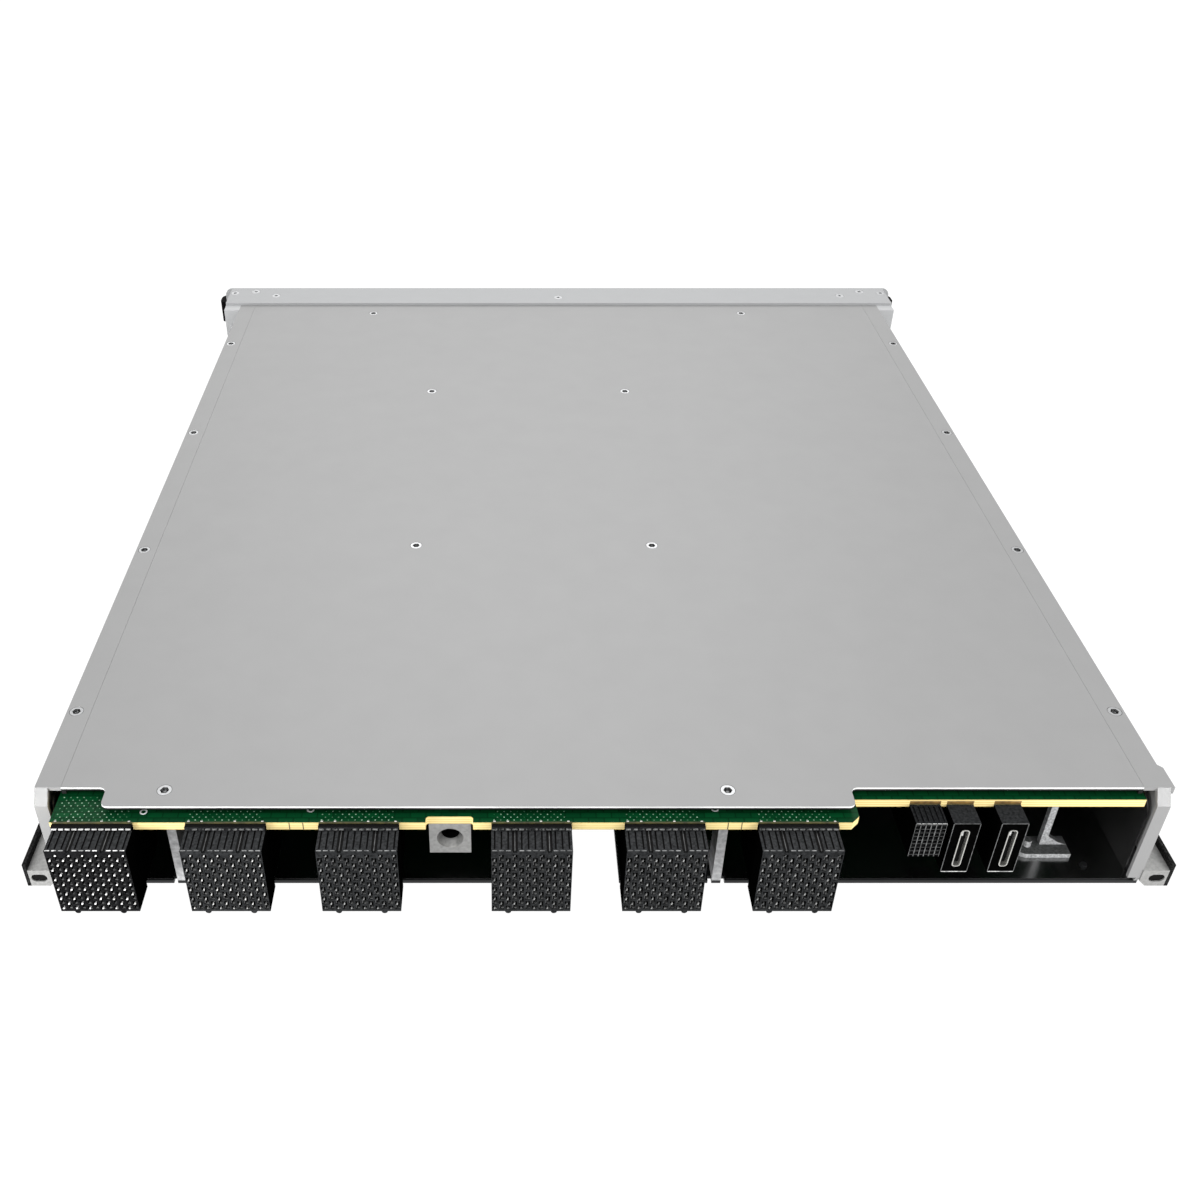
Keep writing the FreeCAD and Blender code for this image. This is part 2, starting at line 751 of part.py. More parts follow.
def side_connector_body(middle, width, height):
    """Housing shared by the signal and power connectors on the set-back edge."""
    edge = board_step_rear - touch_gap
    half = width / 2
    low = side_connector_top - height
    body = block(middle - half, middle + half, side_connector_front, edge, low, side_connector_top)
    return body.fuse(block(middle - half, middle + half, edge, side_connector_front + side_connector_length,
                           low, board_bottom))


def make_signal_connector():
    """Small connector for the control signals: a grid of cavities and a ribbed top."""
    body = side_connector_body(signal_x, signal_width, signal_height)
    front = side_connector_front
    top = side_connector_top
    pitch = signal_width / signal_columns
    row_pitch = (signal_height - 2 * fabric_border) / signal_rows
    half = signal_cell_width / 2
    half_height = signal_cell_height / 2
    cuts = []
    for index in range(signal_columns):
        middle = signal_x - signal_width / 2 + (index + 0.5) * pitch
        for row in range(signal_rows):
            z = top - fabric_border - (row + 0.5) * row_pitch
            cuts.append(block(middle - half, middle + half, front - 1, front + fabric_cell_depth,
                              z - half_height, z + half_height))
        rib = fabric_rib_width / 2
        cuts.append(block(middle - rib, middle + rib, front + fabric_border,
                          board_step_rear - fabric_border, top - fabric_rib_depth, top + 1))
    return body.cut(Part.makeCompound(cuts))


def power_slot(middle, shrink):
    """The tall round-ended slot in a power connector's face, made smaller all round by shrink."""
    centre = side_connector_top - power_height / 2
    half_x = power_slot_width / 2 - shrink
    half_z = power_slot_height / 2 - shrink
    slot = block(middle - half_x, middle + half_x, side_connector_front - contact_proud,
                 side_connector_front + power_slot_depth - shrink, centre - half_z, centre + half_z)
    along_y = lambda e: abs(e.Vertexes[0].Y - e.Vertexes[-1].Y) > 1
    return rounded(slot, power_slot_corner - shrink, along_y)


def make_power_connector(middle):
    """Tall housing with one slot for a power blade."""
    return side_connector_body(middle, power_width, power_height).cut(power_slot(middle, 0))


def make_power_contact(middle):
    """Plated contact that lines the power connector's slot."""
    return power_slot(middle, 0).cut(power_slot(middle, contact_gauge))


def make_post(x, y):
    """Post between floor and board: narrow blade, foot behind it and tapped head."""
    half = post_width / 2
    half_head = post_head_width / 2
    front = tray_rear + post_depth
    head_bottom = board_bottom - post_flange_thickness
    post = block(x - half, x + half, tray_rear, front, floor_top, board_bottom)
    post = post.fuse(block(x - half, x + half, front, front + post_foot_length,
                           floor_top, floor_top + post_flange_thickness))
    post = post.fuse(block(x - half_head, x + half_head, y - half_head, front, head_bottom, board_bottom))
    hole = rod(screw_radius, post_flange_thickness, (x, y, head_bottom), (0, 0, 1))
    return post.cut(hole).removeSplitter()


def make_corner_bracket():
    """L-shaped bracket beside the power connectors, on a rounded base plate with a stud."""
    left = corner_bracket_x
    blade = left + corner_bracket_blade
    right = left + corner_bracket_foot
    y = board_step_rear + corner_bracket_setback
    base_top = film_top + corner_bracket_tab
    gusset = corner_bracket_gusset
    outline = [(left, film_top), (right, film_top), (right, base_top),
               (blade + gusset, base_top + gusset / 4), (blade, base_top + gusset),
               (blade, board_bottom), (left, board_bottom)]
    bracket = prism([(x, y, z) for x, z in outline], (0, corner_bracket_gauge, 0))
    base = block(left - corner_base_reach, right, y - corner_base_rear, y + corner_base_front,
                 film_top, base_top)
    base = rounded(base, corner_base_corner, lambda e: is_upright(e) and e.Vertexes[0].X < left)
    stud = rod(corner_stud_radius, corner_stud_height, (left - corner_base_reach / 2, y, base_top), (0, 0, 1))
    ear = block(left, right, y, y + corner_bracket_foot, board_bottom - corner_bracket_tab, board_bottom)
    return bracket.fuse([base, stud, ear]).removeSplitter()


# ---------------------------------------------------------------- port cages
def cage_centres():
    """Middles of the port cages along X."""
    return [(index - (cage_count - 1) / 2) * cage_pitch for index in range(cage_count)]


def make_port_cage(middle):
    """Folded shell, base, dividers, spacer and rear plate of one ganged cage."""
    half = cage_width / 2
    left, right = middle - half, middle + half
    front = plate_front + cage_proud
    gauge = cage_gauge
    shell = block(left, right, cage_back, front, cage_bottom, cage_top)
    shell = shell.cut(block(left + gauge, right - gauge, cage_back, front, cage_bottom, cage_top - gauge))
    base = block(left + gauge, right - gauge, cage_back, front, cage_bottom, cage_bottom + gauge)
    low, high = cage_bottom + gauge, cage_top - gauge
    rear = block(left + gauge, right - gauge, cage_back, cage_back + gauge, low, high)
    spacer_bottom = low + port_height
    spacer = block(left + gauge, right - gauge, cage_back + gauge + receptacle_length, front,
                   spacer_bottom, spacer_bottom + spacer_height)
    pieces = [shell, base, rear, spacer]
    for index in range(1, cage_columns):
        x = left + index * (port_width + gauge)
        for z0, z1 in ((low, spacer_bottom), (spacer_bottom + spacer_height, high)):
            pieces.append(block(x, x + gauge, cage_back + gauge, front, z0, z1))
    return Part.makeCompound(pieces)


def make_port_receptacles():
    """Stacked receptacles at the back of every cage column."""
    pieces = []
    rear = cage_back + cage_gauge
    front = rear + receptacle_length
    half_body_width = port_width / 2 - receptacle_inset
    half_slot = receptacle_slot_width / 2
    half_height = receptacle_slot_height / 2
    low = cage_bottom + cage_gauge + port_height / 2
    for middle in cage_centres():
        for index in range(cage_columns):
            centre = middle + (index - (cage_columns - 1) / 2) * (port_width + cage_gauge)
            body = block(centre - half_body_width, centre + half_body_width, rear, front,
                         cage_bottom + 2 * cage_gauge, cage_top - 2 * cage_gauge)
            for z in (low, low + port_height + spacer_height):
                body = body.cut(block(centre - half_slot, centre + half_slot, front - receptacle_slot_depth,
                                      front + 1, z - half_height, z + half_height))
            pieces.append(body)
    return Part.makeCompound(pieces)


# ---------------------------------------------------------------- ejectors and thumbscrews
def make_ejector():
    """Right ejector lever: cam tooth and hub behind the panel, shoulder and handle in front."""
    neck_left = pivot_x - neck_inset
    shoulder_x = pivot_x + shoulder_reach
    shoulder_rear = plate_front + shoulder_gap
    grip_front = plate_front + lever_reach
    cam_x = pivot_x + cam_reach
    cam_tip = pivot_y - cam_length
    outline = [(neck_left, pivot_y), (neck_left, handle_back), (handle_inner_x, handle_back),
               (handle_inner_x, grip_front), (handle_inner_x + grip_length / 3, grip_front),
               (handle_inner_x + grip_length, handle_front), (shoulder_x, handle_front),
               (shoulder_x, shoulder_rear), (cam_x, shoulder_rear), (cam_x, cam_tip + cam_length / 3),
               (pivot_x + cam_reach / 2, cam_tip), (pivot_x, pivot_y - hub_radius)]
    lever = prism([(x, y, lever_bottom) for x, y in outline], (0, 0, lever_height))
    lever = lever.fuse(rod(hub_radius, lever_height, (pivot_x, pivot_y, lever_bottom), (0, 0, 1)))
    lever = lever.removeSplitter()
    at_x = lambda e, x: is_upright(e) and abs(e.Vertexes[0].X - x) < 0.01
    lever = rounded(lever, shoulder_round, lambda e: at_x(e, shoulder_x) and e.Vertexes[0].Y > handle_back)
    lever = rounded(lever, shoulder_round / 2,
                    lambda e: at_x(e, shoulder_x) and e.Vertexes[0].Y < handle_back)
    lever = rounded(lever, lever_round, lambda e: at_x(e, handle_inner_x) or at_x(e, pivot_x + cam_reach / 2))
    return lever.cut(rod(pin_radius + pin_gap, lever_height, (pivot_x, pivot_y, lever_bottom), (0, 0, 1)))


def make_ejector_pin():
    """Right pivot pin, through both ears and the lever."""
    low = lever_bottom - run_gap - ear_thickness
    return rod(pin_radius, lever_height + 2 * run_gap + 2 * ear_thickness, (pivot_x, pivot_y, low), (0, 0, 1))


def make_ferrule(x):
    """Ferrule pressed into the faceplate around a thumbscrew."""
    ring = rod(ferrule_radius, plate_gauge, (x, plate_back, thumb_z), (0, 1, 0))
    ring = ring.fuse(rod(ferrule_flange_radius, ferrule_flange, (x, plate_front, thumb_z), (0, 1, 0)))
    return ring.cut(rod(shank_radius + shank_gap, card_height, (x, plate_back - 1, thumb_z), (0, 1, 0)))


def make_thumbscrew():
    """Right captive screw: fluted knob, shank and reduced tip."""
    seat = plate_front + ferrule_flange + run_gap
    knob = rod(knob_radius, knob_length, (thumb_x, seat, thumb_z), (0, 1, 0))
    rim = [e for e in knob.Edges if e.Vertexes[0].Y > seat + 1 and len(e.Vertexes) == 1]
    knob = knob.makeChamfer(knob_chamfer, rim)
    for index in range(knob_flutes):
        angle = 2 * math.pi * index / knob_flutes
        place = (thumb_x + knob_radius * math.cos(angle), seat + knob_flute_start,
                 thumb_z + knob_radius * math.sin(angle))
        knob = knob.cut(rod(flute_radius, knob_length, place, (0, 1, 0)))
    knob = knob.cut(block(thumb_x - knob_radius, thumb_x + knob_radius, seat + knob_length - knob_slot_depth,
                          seat + knob_length + 1, thumb_z - knob_slot_width / 2,
                          thumb_z + knob_slot_width / 2))
    shank = rod(shank_radius, seat - plate_back, (thumb_x, plate_back, thumb_z), (0, 1, 0))
    tip = rod(tip_radius, thumb_tip_length, (thumb_x, plate_back - thumb_tip_length, thumb_z), (0, 1, 0))
    return knob.fuse(shank).fuse(tip)


# ---------------------------------------------------------------- parts on the board
def make_heatsink(x, y):
    """Finned heatsink hung under a switch chip, with screw ears on its base."""
    top = board_bottom - chip_thickness
    half_x = sink_width / 2
    half_y = sink_length / 2
    base = block(x - half_x, x + half_x, y - half_y - sink_ear, y + half_y + sink_ear, top - sink_base, top)
    pitch = (sink_width - sink_fin_gauge) / (sink_fin_count - 1)
    for index in range(sink_fin_count):
        left = x - half_x + index * pitch
        base = base.fuse(block(left, left + sink_fin_gauge, y - half_y, y + half_y,
                               top - sink_base - sink_fin_height, top - sink_base))
    for place in sink_screw_places(x, y):
        base = base.cut(rod(screw_radius + screw_fit, sink_base, (*place, top - sink_base), (0, 0, 1)))
    return base.removeSplitter()


def sink_screw_places(x, y):
    """Four screws at the corners of a heatsink's base."""
    reach_x = sink_width / 2 - sink_screw_inset
    reach_y = sink_length / 2 + sink_ear - sink_screw_inset
    return [(x + side * reach_x, y + end * reach_y) for side in (-1, 1) for end in (-1, 1)]


def make_heatsink_screws():
    """Screws from below each heatsink up to the board."""
    top = board_bottom - chip_thickness - sink_base
    pieces = []
    for x, y in chip_places:
        for place in sink_screw_places(x, y):
            head = rod(head_radius, sink_screw_head, (*place, top - sink_screw_head), (0, 0, 1))
            shank = rod(screw_radius, sink_base + chip_thickness, (*place, top), (0, 0, 1))
            pieces.append(head.fuse(shank))
    return Part.makeCompound(pieces)


def make_capacitors():
    """Row of can capacitors under the board's right edge."""
    places = [(capacitor_x, y, board_bottom) for y in capacitor_ys]
    return Part.makeCompound([rod(capacitor_radius, capacitor_height, place, (0, 0, -1)) for place in places])


def make_standoffs():
    """Round standoffs between the tray floor and the board."""
    pieces = []
    for x, y in standoff_places:
        post = rod(standoff_radius, board_bottom - floor_top, (x, y, floor_top), (0, 0, 1))
        for z in (floor_top, board_bottom - standoff_tap_depth):
            post = post.cut(rod(screw_radius, standoff_tap_depth, (x, y, z), (0, 0, 1)))
        pieces.append(post)
    return Part.makeCompound(pieces)


def make_cover_spacers():
    """Rings that carry the cover above the board at each cover screw."""
    pieces = []
    for x, y in cover_screw_places:
        ring = rod(screw_radius + spacer_wall, cover_bottom - board_top, (x, y, board_top), (0, 0, 1))
        pieces.append(ring.cut(rod(screw_radius + screw_fit, cover_bottom, (x, y, board_top), (0, 0, 1))))
    return Part.makeCompound(pieces)


def make_cover_screws():
    """Screws through cover, spacer and board, into standoffs, board or posts."""
    to_board = cover_top - board_bottom - head_sink
    lengths = (to_board + standoff_tap_depth - 1, to_board - 1, to_board + post_flange_thickness - 1)
    groups = (standoff_places, front_screw_places, post_places)
    return Part.makeCompound([screw(x, y, cover_top - head_sink, length)
                              for length, places in zip(lengths, groups) for x, y in places])


def make_strip_screws():
    """Screws through the side strips into the cover's lips."""
    places = [(x, y) for x in (-strip_screw_x, strip_screw_x) for y in strip_screw_ys()]
    return Part.makeCompound([screw(x, y, cover_top - head_sink, strip_screw_length) for x, y in places])


def make_flange_screws():
    """Screws through the faceplate's top flange."""
    return Part.makeCompound([screw(x, y, card_height - head_sink, flange_screw_length)
                              for x, y in flange_screw_places()])


def make_tray_screws():
    """Countersunk screws from below the tray into the standoffs."""
    return Part.makeCompound([turned_over(screw(x, y, -head_sink, tray_screw_length))
                              for x, y in standoff_places])


def build():
    """Every node's shape, by name."""
    right_frame, left_frame = both_sides(make_side_frame())
    parts = {
        "top_cover": make_top_cover(),
        "right_side_frame": right_frame.fuse(make_corner_tab()).removeSplitter(),
        "left_side_frame": left_frame,
        "bottom_tray": make_bottom_tray(),
        "insulator_film": make_insulator(),
        "faceplate": make_faceplate(),
        "main_board": make_main_board(),
        "guide_socket": make_guide_socket(),
        "signal_connector": make_signal_connector(),
        "corner_bracket": make_corner_bracket(),
        "port_receptacles": make_port_receptacles(),
        "heatsink_screws": make_heatsink_screws(),
        "capacitors": make_capacitors(),
        "board_standoffs": make_standoffs(),
        "cover_spacers": make_cover_spacers(),
        "cover_screws": make_cover_screws(),
        "strip_screws": make_strip_screws(),
        "flange_screws": make_flange_screws(),
        "tray_screws": make_tray_screws(),
        "thumbscrew_ferrules": Part.makeCompound([make_ferrule(thumb_x), make_ferrule(-thumb_x)]),
    }
    mirrored = {"end_bracket": make_end_bracket(), "guide_rail": make_guide_rail(),
                "runner_strip": make_runner(), "ejector": make_ejector(),
                "ejector_pin": make_ejector_pin(), "thumbscrew": make_thumbscrew()}
    for name, shape in mirrored.items():
        parts["right_" + name], parts["left_" + name] = both_sides(shape)
    for index, left in enumerate(fabric_lefts, 1):
        parts["fabric_connector_%d" % index] = make_fabric_connector(left)
    for index, x in enumerate(power_xs, 1):
        parts["power_connector_%d" % index] = make_power_connector(x)
        parts["power_contact_%d" % index] = make_power_contact(x)
    for side, (x, y) in zip(("left", "middle"), post_places):
        parts[side + "_rear_post"] = make_post(x, y)
    for index, x in enumerate(cage_centres(), 1):
        parts["port_cage_%d" % index] = make_port_cage(x)
    for index, (x, y) in enumerate(chip_places, 1):
        half = chip_size / 2
        parts["switch_chip_%d" % index] = block(x - half, x + half, y - half, y + half,
                                                board_bottom - chip_thickness, board_bottom)
        parts["heatsink_%d" % index] = make_heatsink(x, y)
    for index, (x, y) in enumerate(brick_places, 1):
        brick = block(x - brick_width / 2, x + brick_width / 2, y - brick_length / 2, y + brick_length / 2,
                      board_bottom - brick_height, board_bottom)
        parts["power_brick_%d" % index] = rounded(brick, brick_corner, is_upright)
    return parts


os.makedirs("parts", exist_ok=True)
for name, shape in build().items():
    shape.exportStep("parts/%s.step" % name)
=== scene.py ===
import enum
import logging
import math
from collections.abc import Iterator
from dataclasses import dataclass

import bmesh
import bpy
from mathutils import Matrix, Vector


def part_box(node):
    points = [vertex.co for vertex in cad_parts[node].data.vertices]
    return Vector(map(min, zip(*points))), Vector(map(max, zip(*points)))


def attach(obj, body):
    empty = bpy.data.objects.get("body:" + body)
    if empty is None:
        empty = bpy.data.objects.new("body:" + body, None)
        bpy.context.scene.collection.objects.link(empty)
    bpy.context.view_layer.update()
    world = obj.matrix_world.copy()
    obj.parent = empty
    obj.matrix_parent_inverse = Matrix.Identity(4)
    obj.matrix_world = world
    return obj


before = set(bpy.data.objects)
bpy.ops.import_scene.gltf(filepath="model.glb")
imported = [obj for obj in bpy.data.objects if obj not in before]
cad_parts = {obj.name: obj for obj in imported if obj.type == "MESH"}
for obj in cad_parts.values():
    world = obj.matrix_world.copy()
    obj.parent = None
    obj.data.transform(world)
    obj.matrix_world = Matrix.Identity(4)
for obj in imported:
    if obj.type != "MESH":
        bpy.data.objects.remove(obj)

log = logging.getLogger("line_card")
MM = 0.001
# Points nearer to each other than this, in metres, are joined.
WELD = 1e-6
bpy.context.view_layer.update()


# ---------------------------------------------------------------- colour and node helpers
def linear(hex_colour: str) -> tuple[float, float, float, float]:
    """Turn an sRGB hex colour into linear RGBA.

    Args:
        hex_colour: Six hex digits, such as "b0b2b4".

    Returns:
        Linear red, green, blue and an alpha of 1.
    """
    channels = [int(hex_colour[start:start + 2], 16) / 255 for start in (0, 2, 4)]
    curve = [value / 12.92 if value <= 0.04045 else ((value + 0.055) / 1.055) ** 2.4
             for value in channels]
    return curve[0], curve[1], curve[2], 1.0


def add_node(tree: bpy.types.NodeTree, kind: str, settings: dict | None = None,
             inputs: dict | None = None) -> bpy.types.Node:
    """Add one node with its settings and its input values or links.

    Args:
        tree: The material's node tree.
        kind: The node's type name.
        settings: Attribute values, by name.
        inputs: Socket values, or sockets to link from, by socket name or number.

    Returns:
        The new node.
    """
    node = tree.nodes.new(kind)
    for name, value in (settings or {}).items():
        setattr(node, name, value)
    for name, value in (inputs or {}).items():
        if isinstance(value, bpy.types.NodeSocket):
            tree.links.new(value, node.inputs[name])
        else:
            node.inputs[name].default_value = value
    return node


def blank_material(name: str) -> tuple[bpy.types.Material, bpy.types.NodeTree, bpy.types.Node]:
    """Make a node material that holds one Principled shader.

    Args:
        name: The material's name.

    Returns:
        The material, its node tree and the shader.
    """
    material = bpy.data.materials.new(name)
    material.use_nodes = True
    tree = material.node_tree
    return material, tree, tree.nodes["Principled BSDF"]


class Facing(enum.Enum):
    """The way a face looks: the part of its normal that counts, whether its sign is left out, its test."""

    UP = ("Z", False, "GREATER_THAN", 0.5)
    REAR = ("Y", False, "LESS_THAN", -0.5)
    SIDEWAYS = ("X", True, "GREATER_THAN", 0.5)
    UP_OR_DOWN = ("Z", True, "GREATER_THAN", 0.5)
    UPRIGHT = ("Z", True, "LESS_THAN", 0.3)


def facing_mask(tree: bpy.types.NodeTree, facing: Facing) -> bpy.types.NodeSocket:
    """Tell the faces that look a given way from all others.

    Args:
        tree: The material's node tree.
        facing: The way they look.

    Returns:
        A socket that gives 1 on those faces and 0 on the others.
    """
    axis, either_way, test, limit = facing.value
    geometry = add_node(tree, "ShaderNodeNewGeometry")
    split = add_node(tree, "ShaderNodeSeparateXYZ", inputs={0: geometry.outputs["True Normal"]})
    part = split.outputs[axis]
    if either_way:
        part = add_node(tree, "ShaderNodeMath", {"operation": "ABSOLUTE"}, {0: part}).outputs[0]
    return add_node(tree, "ShaderNodeMath", {"operation": test}, {0: part, 1: limit}).outputs[0]


# ---------------------------------------------------------------- finishes
class Grain(enum.Enum):
    """How a surface's fine marks run."""

    EVEN = "even"
    ALONG_X = "along_x"
    ALONG_Y = "along_y"


@dataclass(frozen=True)
class Finish:
    """One surface finish, real or standing for painted light or shade: its colour, shine and fine marks.

    Sizes are in millimetres and colours are sRGB hex. Contrast says how sharply the two colours part. The
    real grain of most of these surfaces is too fine to show, so it is drawn as coarse as it needs to be.
    """

    name: str
    colour: str
    second_colour: str
    roughness: float
    metallic: float = 0.0
    roughness_spread: float = 0.05
    mottle_mm: float = 6.0
    grain_mm: float = 0.4
    grain_height_mm: float = 0.01
    grain: Grain = Grain.EVEN
    stretch: float = 12.0
    ior: float = 1.5
    contrast: float = 1.0

    def material(self) -> bpy.types.Material:
        """Build the finish as a procedural material.

        Returns:
            The material, made once and then reused.
        """
        if self.name in bpy.data.materials:
            return bpy.data.materials[self.name]
        material, tree, shader = blank_material(self.name)
        place = add_node(tree, "ShaderNodeTexCoord").outputs["Object"]
        scale = {Grain.EVEN: (1, 1, 1), Grain.ALONG_X: (1 / self.stretch, 1, 1),
                 Grain.ALONG_Y: (1, 1 / self.stretch, 1)}[self.grain]
        run = add_node(tree, "ShaderNodeMapping", inputs={"Vector": place, "Scale": scale})
        mottle = add_node(tree, "ShaderNodeTexNoise",
                          inputs={"Vector": place, "Scale": 1 / (self.mottle_mm * MM), "Detail": 3.0})
        grain = add_node(tree, "ShaderNodeTexNoise",
                         inputs={"Vector": run.outputs[0], "Scale": 1 / (self.grain_mm * MM), "Detail": 4.0})
        reach = 0.5 / self.contrast
        patch = add_node(tree, "ShaderNodeMapRange",
                         inputs={"Value": mottle.outputs["Fac"], "From Min": 0.5 - reach,
                                 "From Max": 0.5 + reach})
        shade = add_node(tree, "ShaderNodeMix", {"data_type": "RGBA"},
                         {0: patch.outputs[0], 6: linear(self.colour), 7: linear(self.second_colour)})
        tree.links.new(shade.outputs[2], shader.inputs["Base Color"])
        rough = add_node(tree, "ShaderNodeMapRange",
                         inputs={"Value": grain.outputs["Fac"],
                                 "To Min": self.roughness - self.roughness_spread,
                                 "To Max": self.roughness + self.roughness_spread})
        tree.links.new(rough.outputs[0], shader.inputs["Roughness"])
        bump = add_node(tree, "ShaderNodeBump",
                        inputs={"Height": grain.outputs["Fac"], "Distance": self.grain_height_mm * MM,
                                "Strength": 1.0})
        tree.links.new(bump.outputs[0], shader.inputs["Normal"])
        shader.inputs["Metallic"].default_value = self.metallic
        if not self.metallic:
            shader.inputs["IOR"].default_value = self.ior
        return material


@dataclass(frozen=True)
class FacingShadeFinish:
    """A finish that differs on top, on the rear face and on the sides: painted light and shade by the way a
    face looks.
    """

    name: str
    top_colour: str
    face_colour: str
    side_colour: str
    shine: float = 0.0
    roughness: float = 0.5
    speckle_mm: float = 0.9
    darkest: float = 0.55
    lightest: float = 1.35

    def material(self) -> bpy.types.Material:
        """Build the finish; which tone shows depends only on the way a face looks.

        Returns:
            The material, made once and then reused.
        """
        if self.name in bpy.data.materials:
            return bpy.data.materials[self.name]
        material, tree, shader = blank_material(self.name)
        place = add_node(tree, "ShaderNodeTexCoord").outputs["Object"]
        speckle = add_node(tree, "ShaderNodeTexNoise",
                           inputs={"Vector": place, "Scale": 1 / (self.speckle_mm * MM)})
        shade = add_node(tree, "ShaderNodeMapRange",
                         inputs={"Value": speckle.outputs["Fac"], "From Min": 0.3, "From Max": 0.7,
                                 "To Min": self.darkest, "To Max": self.lightest})
        front = add_node(tree, "ShaderNodeMix", {"data_type": "RGBA"},
                         {0: facing_mask(tree, Facing.REAR), 6: linear(self.side_colour),
                          7: linear(self.face_colour)})
        colour = add_node(tree, "ShaderNodeMix", {"data_type": "RGBA"},
                          {0: facing_mask(tree, Facing.UP), 6: front.outputs[2],
                           7: linear(self.top_colour)})
        toned = add_node(tree, "ShaderNodeVectorMath", {"operation": "SCALE"},
                         {0: colour.outputs[2], "Scale": shade.outputs[0]})
        tree.links.new(toned.outputs[0], shader.inputs["Base Color"])
        shader.inputs["Roughness"].default_value = self.roughness
        shader.inputs["Specular IOR Level"].default_value = self.shine
        return material


# Zinc-plated sheet steel, rolled and passivated: an even light grey with a very faint mottle.
PLATED_SHEET = Finish("plated_sheet_steel", "949494", "8f8f8f", 0.50, 0.35, mottle_mm=14, grain_mm=0.5,
                      grain_height_mm=0.006)
# Powder-coated aluminium panel: a paler, flatter grey.
PANEL_COAT = Finish("powder_coated_panel", "9fa0a1", "9b9c9d", 0.55, 0.1, mottle_mm=9, grain_mm=0.6)
# Passivated tray steel, darker than the cover.
TRAY_STEEL = Finish("passivated_tray_steel", "2c2d2e", "262728", 0.42, 0.7, mottle_mm=8)
# Polycarbonate film, calendered glossy black: mirror-like streaks of what stands on it. The film is real, and
# its black also stands in for the shade inside the tray.
BLACK_FILM = Finish("polycarbonate_film", "040404", "070708", 0.2, roughness_spread=0.03, mottle_mm=20,
                    grain_mm=3, grain_height_mm=0.004, ior=3.2)
# Folded end bracket behind the faceplate, coated like it.
END_BRACKET = Finish("coated_end_bracket", "b3b4b5", "a8a9aa", 0.55, 0.1, mottle_mm=9)
# Zinc die casting, tumbled: a fine speckle of light and dark grey.
DIE_CAST = Finish("die_cast_zinc", "b0b0af", "7d7d7b", 0.46, 0.55, mottle_mm=1.1, grain_mm=0.5,
                  grain_height_mm=0.03)
# Acetal runner strip, moulded black with a fine cross hatch.
ACETAL = Finish("moulded_acetal", "030303", "2b2b2b", 0.6, mottle_mm=0.8, grain_mm=0.5,
                grain_height_mm=0.05, contrast=3.0, ior=1.08)
# Milled aluminium rear posts, satin.
BRACKET_METAL = Finish("satin_aluminium", "c6c6c7", "9b9c9d", 0.42, 0.3, mottle_mm=2, contrast=3.0,
                       grain=Grain.ALONG_X)
# Satin aluminium corner bracket, painted light on its rear face, mid grey on its sides and dark on top:
# painted light and shade by the way each face looks.
CORNER_METAL = FacingShadeFinish("satin_corner_bracket", "484949", "a9aaab", "8d8e8f", 0.25)
# Tin-plated copper alloy: pale and bright.
TIN_PLATE = Finish("tin_plated_copper", "d9d8d4", "b9b8b3", 0.28, 0.85, mottle_mm=1.2)
# Nickel-plated screw steel, bright; the dark of its drive recesses is painted shade laid over the heads.
SCREW_PLATE = Finish("nickel_plated_steel", "c9cacb", "a7a8a9", 0.30, 0.8, mottle_mm=1.0)
# Black electrocoat on the die-cast levers.
LEVER_COAT = Finish("black_electrocoat", "050505", "0b0b0c", 0.5, mottle_mm=3, grain_mm=0.5, ior=1.08)
# Bright stamped nickel silver of the port cages.
CAGE_STEEL = Finish("stamped_nickel_silver", "c4c4c2", "b3b3b1", 0.30, 0.9, mottle_mm=5,
                    grain=Grain.ALONG_Y)
# Extruded aluminium of the heatsinks.
SINK_METAL = Finish("extruded_aluminium", "b6b8ba", "a5a7a9", 0.38, 0.85, mottle_mm=5, grain=Grain.ALONG_Y)
# Epoxy moulding of the chip packages.
CHIP_EPOXY = Finish("moulded_epoxy", "1b1c1f", "232427", 0.55, mottle_mm=1.2)
# Anodised case of the power bricks.
BRICK_CASE = Finish("anodised_case", "1d1e21", "27282b", 0.40, 0.4, mottle_mm=3)
# Aluminium capacitor cans.
CAN_METAL = Finish("drawn_aluminium_can", "a9abad", "9a9c9e", 0.32, 0.85, mottle_mm=3)
# Liquid crystal polymer of the port receptacles, near-black.
RECEPTACLE_PLASTIC = Finish("liquid_crystal_polymer", "262728", "1b1c1d", 0.44, mottle_mm=1.5,
                            grain_mm=0.3, grain_height_mm=0.02)

# Connector housings: near-black on the sides, greyer on top and, on all but the first, on the face. These
# tones, and those of the signal and power housings, are painted light and shade by the way each face looks.
HOUSING_DARK = FacingShadeFinish("liquid_crystal_polymer_dark", "303132", "181819", "020202")
HOUSING_GREY = FacingShadeFinish("liquid_crystal_polymer_grey", "313233", "292a2b", "020202")
SIGNAL_BLACK = FacingShadeFinish("signal_housing_polymer", "1f2021", "090909", "020202")
POWER_BLACK = FacingShadeFinish("glass_filled_nylon", "262728", "040404", "020202")

# Painted shade: the unlit inside of a contact cavity, a slot, a bore or a gap, also laid over grooves, a lip
# and screw recesses.
CAVITY = Finish("painted_cavity_shade", "040404", "070707", 0.7, mottle_mm=1.5, ior=1.2)
# Shield tongues: dull plated, and darker in the first connector.
SHIELD = Finish("dull_plated_shield", "5b5c5d", "333435", 0.45, 0.2, mottle_mm=1.5)
DARK_SHIELD = Finish("darker_shield_tongue", "1c1c1d", "101011", 0.45, mottle_mm=1.5, ior=1.25)
# Ground blades, seen end on.
BLADE = Finish("ground_blade_end", "767776", "3c3d3e", 0.4, 0.3, mottle_mm=1.8, contrast=3.0)
